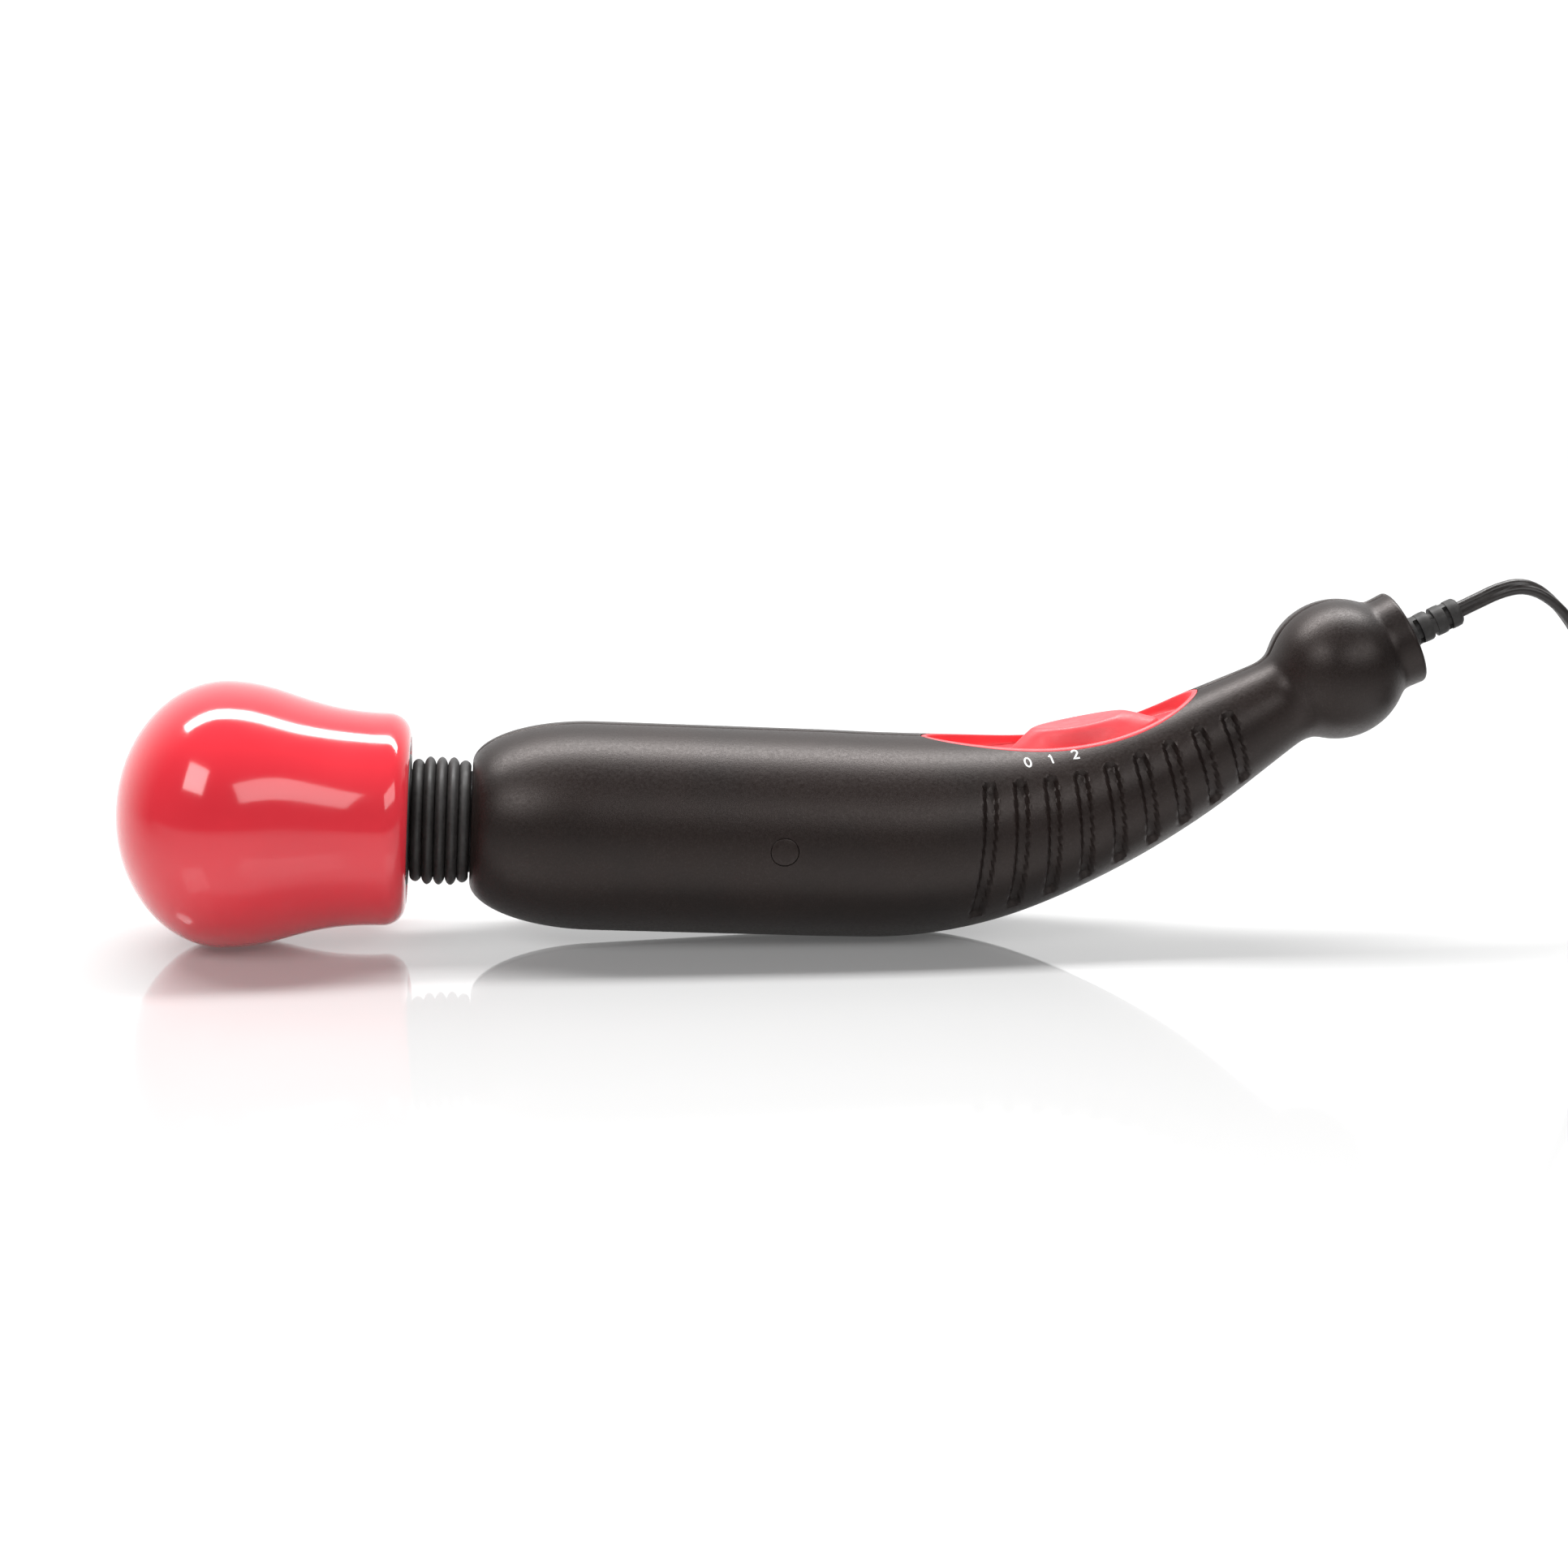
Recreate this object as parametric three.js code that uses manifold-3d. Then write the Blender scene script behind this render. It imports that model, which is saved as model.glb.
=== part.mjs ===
// A handheld wand massager: a vibrating bulb head on a sprung, bellows-covered neck, a curved
// two-shell handle with a speed slider, and a low-voltage lead that ends in a plug-in adapter.
// Millimetres, +Z up. The wand lies on its side along X with its head towards -X.
import * as THREE from "three";
import { mergeVertices } from "three/addons/utils/BufferGeometryUtils.js";
import Module from "manifold-3d";

const wasm = await Module();
wasm.setup();

// ---- driving dimensions -------------------------------------------------------------------
const GAP = 0.3; // clearance between touching pieces
const WALL = 2.4; // thickness of the moulded shells
const WAND_TILT = 2.45; // degrees that the barrel's axis falls from the head to the tail
const WAND_X = 0.2; // moves the wand so that the middle of its length is at x = 0
const AXIS_HEIGHT = 23.69; // height of the barrel's axis above the surface at x = 0

// Handle: its spine runs straight, bends up on an arc, and runs straight again to the ball.
const MOUTH_X = -68.9; // front face of the handle, around the neck
const MOUTH_R = 13;
const NOSE_END_X = -42; // where the rounded nose meets the barrel
const BARREL_R = 23;
const BEND_START = 18;
const BEND_R = 137;
const BEND_ANGLE = 33; // degrees
const BALL_S = 132.7; // distance of the ball's centre along the spine
const BALL_R = 15.75;
const COLLAR_ANGLE = 28; // degrees above the barrel's axis
const COLLAR_R = 10.9;
const COLLAR_END = 17.2; // from the ball's centre to the flat end face
const COLLAR_WALL = 3.6; // thickness of the end wall that the lead passes through
const WAIST_R = 11.4; // where the handle meets the ball
// Radius of the handle along the spine, from the barrel to the waist in front of the ball.
const TAPER = [[10, 23], [28, 22.6], [45, 20.95], [66.5, 17.35], [84, 14.7], [100, 12.6], [115, 10.5],
  [118.6, 10.2], [120.4, 10.6]];
const NECK_BORE_R = 11.4;
const CORD_BORE_R = 3.8;
const HANDLE_SIDES = 24;
const HOLLOW_SIDES = 16;

// Head
const TIP_X = -144.8;
const BULB_X = -121.5; // widest place of the bulb
const BULB_R = 28.9;
const SKIRT_R = 23.2;
const SKIRT_X = -87.4; // where the skirt turns into the rear corner
const CORNER_R = 5;
const CAP_WALL = 2.4;
const PLATE_R = 17.9;
const PLATE_FRONT_X = -85.4;
const PLATE_REAR_X = -83.2;
const HUB_REAR_X = -82.2;

// Neck
const RING_COUNT = 5;
const RING_PITCH = 2.54;
const RING_CREST_R = 14;
const RING_GROOVE_R = 12.6;
const BELLOWS_BORE_R = 9.2;
const SPRING_R = 7.2;
const SPRING_WIRE_R = 0.8;
const SPRING_TURNS = 6;

// Switch: everything on it follows an arc about a centre above the handle.
const TRACK_X = 39;
const TRACK_Z = 136;
const TRACK_R = 113.2; // radius of the handle's top line about the track's centre
const TROUGH_DEPTH = 3.3;
const FLOOR = 2; // thickness of the trough's floor
const BEZEL_FRONT_X = 29.5;
const BEZEL_REAR_X = 91.4;
const BEZEL_HALF_WIDTH = 8.9;
const RIM = 1.25;
const BUTTON_X = 67; // middle of the button at rest, at the tail end of its travel
// Half length, half width, offset along the track and height of each level of the button.
const BUTTON_LEVELS = [[17, 6.9, 0, GAP], [16.6, 6.8, -0.1, 0.9], [13.6, 5.9, -0.6, 3.4],
  [11.4, 4.9, -1, 4.7], [10.6, 4.4, -1, 5]];
const BUTTON_SIDES = 28;

// Lead and adapter
const LEAD_R = 1.85;
const COIL_X = 224;
const COIL_INNER_R = 13;
const COIL_OUTER_R = 27.7;
const COIL_BOTTOM = 1;
const COIL_HEIGHT = 10.4;
const ADAPTER_X = 246; // face that the lead enters
const ADAPTER_Y = -34;
const ADAPTER_SIZE = new THREE.Vector3(46, 34, 28);
const ADAPTER_INLET_Z = 9;

const BLACK = 0x2b2523;
const RED = 0xe23b45;
const STEEL = 0xb9bcc0;

// ---- geometry helpers ---------------------------------------------------------------------
const rad = THREE.MathUtils.degToRad;
const xyz = (x, y, z) => new THREE.Vector3(x, y, z);

// A closed solid of revolution about the X axis; the profile is a list of [x, radius].
function lathe(profile, sides = 32) {
  const points = profile.map(([x, r]) => new THREE.Vector2(r, x));
  if (THREE.ShapeUtils.area(points) < 0) points.reverse();
  return new THREE.LatheGeometry(points, sides).rotateZ(-Math.PI / 2);
}

// A ring or tube about the X axis, from its outer and inner profiles.
const ring = (outer, inner, sides) => lathe([...outer, ...[...inner].reverse(), outer[0]], sides);

// A plain tube about the X axis with a small chamfer on its outer edges.
function tube(x0, x1, outer, inner, sides = 24) {
  const c = Math.min(0.3, (x1 - x0) / 4);
  const outside = [[x0, outer - c], [x0 + c, outer], [x1 - c, outer], [x1, outer - c]];
  return inner > 0
    ? ring(outside, [[x0, inner], [x1, inner]], sides)
    : lathe([[x0, 0], ...outside, [x1, 0]], sides);
}

const box = (sx, sy, sz, at) => new THREE.BoxGeometry(sx, sy, sz).translate(at.x, at.y, at.z);

// A prism with rounded upright edges and small chamfers, standing on z = 0.
function roundedBlock(length, width, height, radius, chamfer = 0.8) {
  const w = length / 2 - chamfer;
  const h = width / 2 - chamfer;
  const r = radius - chamfer;
  const shape = new THREE.Shape();
  shape.absarc(w - r, h - r, r, 0, Math.PI / 2);
  shape.absarc(r - w, h - r, r, Math.PI / 2, Math.PI);
  shape.absarc(r - w, r - h, r, Math.PI, 1.5 * Math.PI);
  shape.absarc(w - r, r - h, r, 1.5 * Math.PI, 2 * Math.PI);
  const depth = height - 2 * chamfer;
  const options = { depth, curveSegments: 3, bevelThickness: chamfer, bevelSize: chamfer, bevelSegments: 1 };
  return new THREE.ExtrudeGeometry(shape, options).translate(0, 0, chamfer);
}

// A round bar swept along a curve.
function sweep(curve, radius, steps, sides) {
  const shape = new THREE.Shape();
  shape.absarc(0, 0, radius, 0, 2 * Math.PI);
  const options = { extrudePath: curve, steps, curveSegments: sides / 2 };
  return new THREE.ExtrudeGeometry(shape, options);
}

// A closed skin over a list of rings of points; each ring runs right-handed about the way ahead.
function loft(rings) {
  const count = rings[0].length;
  const points = rings.flat();
  const index = [];
  for (let i = 0; i + 1 < rings.length; i++) {
    for (let j = 0; j < count; j++) {
      const a = i * count + j;
      const b = i * count + ((j + 1) % count);
      index.push(a, b, a + count, b, b + count, a + count);
    }
  }
  for (const last of [false, true]) {
    const row = last ? rings.at(-1) : rings[0];
    const start = last ? (rings.length - 1) * count : 0;
    const centre = points.length;
    points.push(row.reduce((sum, p) => sum.add(p), xyz(0, 0, 0)).divideScalar(count));
    for (let j = 0; j < count; j++) {
      const k = (j + 1) % count;
      if (last) index.push(centre, start + j, start + k);
      else index.push(centre, start + k, start + j);
    }
  }
  return new THREE.BufferGeometry().setFromPoints(points).setIndex(index);
}

// The solid that booleans work on, from a closed geometry.
function solid(geometry) {
  const bare = geometry.clone();
  bare.deleteAttribute("normal");
  bare.deleteAttribute("uv");
  const merged = mergeVertices(bare, 1e-4);
  const corners = merged.index.array;
  const kept = [];
  for (let i = 0; i < corners.length; i += 3) {
    const [a, b, c] = corners.slice(i, i + 3);
    if (a !== b && b !== c && c !== a) kept.push(a, b, c);
  }
  const vertProperties = merged.attributes.position.array;
  return new wasm.Manifold(new wasm.Mesh({ numProp: 3, vertProperties, triVerts: new Uint32Array(kept) }));
}

function geometryOf(manifold) {
  const mesh = manifold.getMesh();
  const geometry = new THREE.BufferGeometry();
  geometry.setAttribute("position", new THREE.BufferAttribute(mesh.vertProperties, 3));
  geometry.setIndex(new THREE.BufferAttribute(mesh.triVerts, 1));
  geometry.computeVertexNormals();
  return geometry;
}

const join = (first, ...rest) => rest.reduce((sum, g) => sum.add(solid(g)), first);
const cut = (first, ...rest) => rest.reduce((sum, g) => sum.subtract(solid(g)), first);

function piece(name, geometry, color, roughness = 0.5, metalness = 0) {
  const mesh = new THREE.Mesh(geometry, new THREE.MeshStandardMaterial({ color, roughness, metalness }));
  mesh.name = name;
  return mesh;
}

// ---- handle -------------------------------------------------------------------------------
const bendLength = BEND_R * rad(BEND_ANGLE);

// Place and slope of the spine at a distance s along it, in the XZ plane.
function spine(s) {
  const bend = THREE.MathUtils.clamp((s - BEND_START) / BEND_R, 0, rad(BEND_ANGLE));
  const before = Math.min(s, BEND_START);
  const after = Math.max(0, s - BEND_START - bendLength);
  const at = xyz(
    before + BEND_R * Math.sin(bend) + after * Math.cos(bend), 0,
    BEND_R * (1 - Math.cos(bend)) + after * Math.sin(bend));
  return { at, angle: bend };
}

const ball = spine(BALL_S).at;
const collarWay = xyz(Math.cos(rad(COLLAR_ANGLE)), 0, Math.sin(rad(COLLAR_ANGLE)));
const beyondBall = (d) => ball.clone().addScaledVector(collarWay, d);

// Stations of the handle's skin as { at, angle, r }, from the mouth to the collar's end face.
function handleStations() {
  const stations = [];
  const add = (s, r) => stations.push({ ...spine(s), r });
  const nose = NOSE_END_X - MOUTH_X;
  for (const turn of [0, 12, 26, 42, 60, 76, 90]) {
    const across = Math.sin(rad(turn));
    add(NOSE_END_X - nose * Math.cos(rad(turn)), MOUTH_R + (BARREL_R - MOUTH_R) * across);
  }
  const taper = new THREE.SplineCurve(TAPER.map(([s, r]) => new THREE.Vector2(s, r)));
  for (const p of taper.getPoints(12)) add(p.x, p.y);
  const waistTurn = Math.asin(WAIST_R / BALL_R);
  const collarTurn = Math.PI - Math.asin(COLLAR_R / BALL_R);
  const turns = 7;
  for (let i = 0; i <= turns; i++) {
    const turn = THREE.MathUtils.lerp(waistTurn, collarTurn, i / turns);
    const d = -BALL_R * Math.cos(turn);
    const r = BALL_R * Math.sin(turn);
    if (d < 0) add(BALL_S + d, r);
    else stations.push({ at: beyondBall(d), angle: rad(COLLAR_ANGLE), r });
  }
  const edge = 0.6;
  const collar = [[12.6, COLLAR_R - 0.15], [COLLAR_END - edge, COLLAR_R], [COLLAR_END, COLLAR_R - edge]];
  for (const [d, r] of collar) {
    stations.push({ at: beyondBall(d), angle: rad(COLLAR_ANGLE), r });
  }
  return stations;
}

function handleSkin(stations, inset, sides) {
  const rings = stations.map(({ at, angle, r }) => {
    const up = xyz(-Math.sin(angle), 0, Math.cos(angle));
    return Array.from({ length: sides }, (_, j) => {
      const a = (2 * Math.PI * j) / sides;
      return at.clone()
        .addScaledVector(up, (r - inset) * Math.cos(a))
        .add(xyz(0, -(r - inset) * Math.sin(a), 0));
    });
  });
  return loft(rings);
}

const stations = handleStations();
const handleSolid = solid(handleSkin(stations, 0, HANDLE_SIDES));
const hollowEndX = beyondBall(COLLAR_END - COLLAR_WALL).x;
const insideStations = stations.filter(({ at }) => at.x > MOUTH_X + WALL && at.x < hollowEndX);
const handleHollow = handleSkin(insideStations, WALL, HOLLOW_SIDES);

// Screw places on the barrel's side, as { x, z, reach }; the near one is entered from the other side.
const SCREWS = [
  { name: "shell_screw_front", x: -46, z: 0, side: 1, wall: 22.6 },
  { name: "shell_screw_near", x: -2.1, z: 1, side: -1, wall: 22.9 },
  { name: "shell_screw_grip", x: 46, z: -9, side: 1, wall: 16.6 },
  { name: "shell_screw_ball", x: 121, z: 40.4, side: 1, wall: 15.6 },
];
const SCREW_HEAD_DEPTH = 5.2; // from the outer surface to the screw head's underside
const SCREW_LENGTH = 13;
const BOSS_R = 4.2;

// A bar along Y between two heights, at a place in the XZ plane.
function crossBar(x, z, y0, y1, r, sides = 12) {
  const bar = new THREE.CylinderGeometry(r, r, Math.abs(y1 - y0), sides);
  return bar.translate(x, (y0 + y1) / 2, z);
}

const shellEdge = GAP / 2;

function halfBox(side) {
  return box(320, 40, 200, xyz(40, side * (20 + shellEdge), 30));
}

// The boat-shaped outline of the switch opening, grown or shrunk, as an upright prism.
function boatPrism(grow) {
  const front = BEZEL_FRONT_X - grow;
  const rear = BEZEL_REAR_X + grow;
  const wide = BEZEL_HALF_WIDTH + grow;
  const middle = THREE.MathUtils.lerp(front, rear, 0.56);
  const shape = new THREE.Shape();
  shape.moveTo(front, 0);
  shape.bezierCurveTo(front + 1, wide * 0.62, middle - 17, wide, middle, wide);
  shape.bezierCurveTo(middle + 15, wide, rear - 1, wide * 0.72, rear, 0);
  shape.bezierCurveTo(rear - 1, -wide * 0.72, middle + 15, -wide, middle, -wide);
  shape.bezierCurveTo(middle - 17, -wide, front + 1, -wide * 0.62, front, 0);
  return new THREE.ExtrudeGeometry(shape, { depth: 60, curveSegments: 8, bevelEnabled: false });
}

// A band about the track's centre between two radii, as wide as the handle.
function trackBand(inner, outer, halfWidth = 14) {
  const shape = new THREE.Shape();
  const from = rad(-98);
  const to = rad(-55);
  shape.absarc(TRACK_X, TRACK_Z, outer, from, to, false);
  shape.absarc(TRACK_X, TRACK_Z, inner, to, from, true);
  const options = { depth: 2 * halfWidth, curveSegments: 14, bevelEnabled: false };
  return new THREE.ExtrudeGeometry(shape, options).rotateX(Math.PI / 2).translate(0, halfWidth, 0);
}

const floorR = TRACK_R + TROUGH_DEPTH;
const bezelBottomR = floorR + FLOOR;
const switchOpening = solid(boatPrism(GAP)).intersect(solid(trackBand(90, bezelBottomR + GAP)));

let shell = handleSolid.subtract(solid(handleHollow));
shell = join(shell, tube(-61.2, -59.6, 20.4, 7));
for (const { x, z } of SCREWS) {
  shell = shell.add(solid(crossBar(x, z, -30, 30, BOSS_R)).intersect(handleSolid));
}
shell = cut(
  shell,
  tube(MOUTH_X - 5, MOUTH_X + 8, NECK_BORE_R, 0, 32),
  tube(-5, 25, CORD_BORE_R, 0, 16).rotateY(-rad(COLLAR_ANGLE)).translate(ball.x, ball.y, ball.z));
for (const { x, z, side, wall } of SCREWS) {
  const seat = side * (wall - SCREW_HEAD_DEPTH);
  shell = cut(
    shell,
    crossBar(x, z, seat, side * 30, 3.1),
    crossBar(x, z, side * (wall - SCREW_HEAD_DEPTH - SCREW_LENGTH - 1), seat + side, 1.6, 8));
}
shell = shell.subtract(switchOpening);

const handleLeft = shell.intersect(solid(halfBox(-1)));
const handleRight = shell.intersect(solid(halfBox(1)));

function screwAlongY({ name, x, z, side, wall }) {
  const profile = [[0, 0], [0, 2.6], [1.2, 2.6], [1.8, 1.25], [SCREW_LENGTH, 1.25], [SCREW_LENGTH + 1, 0]];
  const geometry = lathe(profile, 12).rotateZ(-side * Math.PI / 2);
  return piece(name, geometry.translate(x, side * (wall - SCREW_HEAD_DEPTH + 1.8 + GAP), z), STEEL, 0.35, 1);
}

// The plug over the near screw is trimmed by the handle's own surface.
const nearScrew = SCREWS.find(({ side }) => side < 0);
const plugBar = crossBar(nearScrew.x, nearScrew.z, -19.8, -30, 2.8, 20);
const screwPlug = solid(plugBar).intersect(handleSolid);

// ---- switch -------------------------------------------------------------------------------
// A point on the track: along it from its lowest point, across it, and up from the trough's floor.
function onTrack(along, across, height) {
  const turn = along / floorR;
  const r = floorR - height;
  return xyz(TRACK_X + r * Math.sin(turn), across, TRACK_Z - r * Math.cos(turn));
}
const alongAtX = (x) => floorR * Math.asin((x - TRACK_X) / floorR);

const bezelBlank = solid(boatPrism(0)).intersect(solid(trackBand(90, bezelBottomR))).intersect(handleSolid);
const trough = solid(boatPrism(-RIM)).intersect(solid(trackBand(90, floorR)));
const buttonAlong = alongAtX(BUTTON_X);

// A block on the track between two heights, long enough to follow the arc.
function trackBlock(along0, along1, halfWidth, height0, height1, steps = 4) {
  const rings = [];
  for (let i = 0; i <= steps; i++) {
    const along = THREE.MathUtils.lerp(along0, along1, i / steps);
    rings.push([
      onTrack(along, halfWidth, height0), onTrack(along, -halfWidth, height0),
      onTrack(along, -halfWidth, height1), onTrack(along, halfWidth, height1)]);
  }
  return loft(rings.map((r) => r.reverse()));
}

const TRAVEL = 10; // the button's travel towards the head, in two steps
const STEM_HALF = 3;
const slot = trackBlock(buttonAlong - TRAVEL - STEM_HALF - 0.6, buttonAlong + STEM_HALF + 0.6, 1.8, -6, 1);
const bezel = bezelBlank.subtract(trough).subtract(solid(slot));

function speedButton() {
  return loft(BUTTON_LEVELS.map(([length, width, shift, height]) =>
    Array.from({ length: BUTTON_SIDES }, (_, j) => {
      const a = (2 * Math.PI * j) / BUTTON_SIDES;
      return onTrack(buttonAlong + shift + length * Math.cos(a), width * Math.sin(a), height);
    })));
}

const button = solid(speedButton());
const carrier = join(
  solid(trackBlock(buttonAlong - STEM_HALF, buttonAlong + STEM_HALF, 1.3, -5.2, 0)),
  trackBlock(buttonAlong - 5.5, buttonAlong + 5.5, 4, -3.9, -2.4),
  trackBlock(buttonAlong - 1.4, buttonAlong + 1.4, 1.2, -8.4, -3.6));

// The switch case and its board are straight; this frame sits on the track under the travel's middle.
const switchAlong = buttonAlong - TRAVEL / 2;
const switchFrame = new THREE.Group();
switchFrame.position.copy(onTrack(switchAlong, 0, 0));
switchFrame.rotation.y = -switchAlong / floorR;

const caseBlank = solid(box(24, 9, 6.5, xyz(0, 0, -9.45)));
const switchCase = cut(caseBlank, box(18, 3.4, 4, xyz(0, 0, -7.6)));
const boardHole = (x) => crossBar(0, 0, -2, 2, 1.1, 10).rotateX(Math.PI / 2).translate(x, 4, -13.9);
const board = cut(solid(box(40, 13, 1.6, xyz(1, 0, -13.9))), boardHole(-16), boardHole(18));

// ---- head ---------------------------------------------------------------------------------
// Outline of the cap from its tip to its rear opening, moved in by a wall thickness.
function capOutline(inset, steps) {
  const tip = TIP_X + inset;
  const bulb = BULB_R - inset;
  const skirt = SKIRT_R - inset;
  const corner = Math.max(0.8, CORNER_R - inset);
  const rear = SKIRT_X + corner;
  const k = 0.5523;
  const path = new THREE.Path();
  path.moveTo(tip, 0);
  path.bezierCurveTo(tip, k * bulb, BULB_X - k * (BULB_X - tip), bulb, BULB_X, bulb);
  path.bezierCurveTo(BULB_X + 12.5, bulb, SKIRT_X - 18, skirt, SKIRT_X, skirt);
  path.absarc(SKIRT_X, skirt - corner, corner, Math.PI / 2, 0, true);
  return { points: path.getPoints(steps).map((p) => [p.x, p.y]), rear };
}

const capOutside = capOutline(0, 5);
const capInside = capOutline(CAP_WALL, 3);
const openingR = PLATE_R + GAP;
const HEAD_SCREW_ANGLES = [90, 210, 330];
const HEAD_SCREW_R = 16.3;

const around = (angle, r) => [r * Math.cos(rad(angle)), r * Math.sin(rad(angle))];

// A bar along X at an angle and distance from the head's axis.
function axialBar(angle, at, x0, x1, r, sides = 12) {
  const [y, z] = around(angle, at);
  return new THREE.CylinderGeometry(r, r, x1 - x0, sides).rotateZ(Math.PI / 2).translate((x0 + x1) / 2, y, z);
}

let cap = solid(lathe([...capOutside.points, [capOutside.rear, 0]], 32));
const capHollow = solid(lathe([...capInside.points, [capInside.rear, 0]], 20));
const bosses = HEAD_SCREW_ANGLES.map((angle) => {
  return solid(axialBar(angle, HEAD_SCREW_R + 2, -98, PLATE_FRONT_X - GAP, 3.4)).intersect(capHollow);
});
cap = cap.subtract(capHollow);
for (const boss of bosses) cap = cap.add(boss);
cap = cut(
  cap,
  tube(PLATE_FRONT_X - GAP, -70, openingR, 0, 40),
  ...HEAD_SCREW_ANGLES.map((angle) => axialBar(angle, HEAD_SCREW_R, -96, -80, 1.3, 8)));

const rearPlate = cut(
  solid(ring(
    [[PLATE_FRONT_X, PLATE_R - 0.3], [PLATE_FRONT_X + 0.3, PLATE_R], [PLATE_REAR_X - 0.3, PLATE_R],
      [PLATE_REAR_X, PLATE_R - 0.3], [PLATE_REAR_X, 14.6], [HUB_REAR_X, 14.2]],
    [[PLATE_FRONT_X, NECK_BORE_R], [HUB_REAR_X, NECK_BORE_R]], 28)),
  ...HEAD_SCREW_ANGLES.map((angle) => axialBar(angle, HEAD_SCREW_R, -90, -80, 1.3, 8)));

function headScrew(angle, number) {
  const profile = [[-93.5, 0], [-92.5, 1], [PLATE_REAR_X + GAP, 1], [PLATE_REAR_X + GAP, 1.3],
    [PLATE_REAR_X + GAP + 0.5, 1.3], [PLATE_REAR_X + GAP + 0.7, 0]];
  const [y, z] = around(angle, HEAD_SCREW_R);
  return piece(`head_screw_${number}`, lathe(profile, 10).translate(0, y, z), STEEL, 0.35, 1);
}

const motorCan = lathe([[-114.5, 0], [-114.5, 1.4], [-120, 1.4], [-120, 9.6], [-119, 10.6], [-95, 10.6],
  [-94, 10.2], [-94, 0]].reverse(), 28);
const rotorWeight = cut(
  solid(tube(-132.3, -123.6, 14, 0, 28)),
  box(20, 40, 20, xyz(-128, 0, 14)),
  tube(-140, -120, 1.3, 0, 10));
const weightHub = solid(tube(-132.3, -123.6, 4.5, 1.3, 16));

// ---- neck ---------------------------------------------------------------------------------
const bellowsFront = HUB_REAR_X + GAP;
const bellowsRear = MOUTH_X - GAP;

function bellows() {
  const outer = [[-88, 12.3], [-86, 12.3], [-86, 11.1], [bellowsFront, 11.1]];
  for (let i = 0; i < RING_COUNT; i++) {
    const x = bellowsFront + RING_PITCH * i;
    const crest = i === 0 || i === RING_COUNT - 1 ? RING_CREST_R - 0.6 : RING_CREST_R;
    outer.push([x + 0.02, RING_GROOVE_R], [x + 0.75, crest - 0.15], [x + RING_PITCH / 2, crest]);
    outer.push([x + RING_PITCH - 0.75, crest - 0.15]);
  }
  outer.push([bellowsRear, RING_GROOVE_R], [bellowsRear, 11.1], [-66, 11.1], [-66, 12.3], [-64.8, 12.3]);
  return ring(outer, [[-88, BELLOWS_BORE_R], [-64.8, BELLOWS_BORE_R]], 20);
}

class Helix extends THREE.Curve {
  getPoint(t) {
    const turn = 2 * Math.PI * SPRING_TURNS * t;
    const x = THREE.MathUtils.lerp(-88, -65.2, t);
    return xyz(x, SPRING_R * Math.cos(turn), SPRING_R * Math.sin(turn));
  }
}

const ferrule = (flange0, flange1, tip) => {
  const inward = Math.sign(tip - flange0);
  const nose = tip - 0.6 * inward;
  const outer = [[flange0, 10.3], [flange1, 10.3], [flange1, 5.8], [nose, 5.8], [tip, 5.2]];
  return ring(outer, [[flange0, 3.2], [tip, 3.2]], 20);
};

const motorLeadPath = new THREE.CatmullRomCurve3([
  xyz(-91.2, 0, 0), xyz(-84, 0, 0.6), xyz(-76, 0, -0.6), xyz(-68, 0, 0.5), xyz(-58, 0, 0)]);

// ---- lead, coil and adapter ------------------------------------------------------------------
// Points of the lead where it isn't coiled, in the part's own frame: out of the strain relief, over
// its arch, down to the surface and round to the coil.
const LEAD_ROUTE = [
  [152.4, 0, 73.4], [156.9, 0, 75.6], [161, 0, 77.5], [165.4, 0, 78.6], [169.4, 0, 78], [173.4, 0, 75.7],
  [177.6, 0, 71.7], [181.6, -0.2, 66], [185, -0.6, 58.9], [187.6, -1.4, 50.8], [189.4, -2.6, 42.1],
  [190.6, -4.8, 33.2], [191.6, -8, 24.5], [193.2, -12, 16.4], [196, -16.2, 9.6], [200.4, -20.6, 5.2],
  [206.7, -24.9, 3.3],
];
const ADAPTER_ROUTE = [
  [209.3, -28.8, 10.2], [214.6, -31.3, 9.9], [220, -33.1, 9.5], [225.6, -33.9, 9.1], [231.7, ADAPTER_Y, 9],
];
const routeCurve = (points) => new THREE.CatmullRomCurve3(points.map((p) => xyz(...p)), false, "centripetal");

function coilRing() {
  const c = 1.6;
  const top = COIL_BOTTOM + COIL_HEIGHT;
  const r0 = COIL_INNER_R;
  const r1 = COIL_OUTER_R;
  const section = [[r0 + c, COIL_BOTTOM], [r1 - c, COIL_BOTTOM], [r1, COIL_BOTTOM + c], [r1, top - c],
    [r1 - c, top], [r0 + c, top], [r0, top - c], [r0, COIL_BOTTOM + c], [r0 + c, COIL_BOTTOM]];
  const points = section.map(([r, z]) => new THREE.Vector2(r, z));
  return new THREE.LatheGeometry(points, 28).rotateX(Math.PI / 2).translate(COIL_X, 0, 0);
}

// A flat strap round the coil's section, on the coil's far side.
function coilTie() {
  const thick = 0.6;
  const near = COIL_INNER_R - 2 * GAP;
  const far = COIL_OUTER_R + GAP;
  const middle = xyz(COIL_X, (near + far) / 2, COIL_BOTTOM + COIL_HEIGHT / 2);
  const tall = COIL_HEIGHT + 2 * GAP;
  const outer = box(5, far - near + 2 * thick, tall + 2 * thick, middle);
  const inner = box(7, far - near, tall, middle);
  return geometryOf(cut(solid(outer), inner));
}

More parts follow.
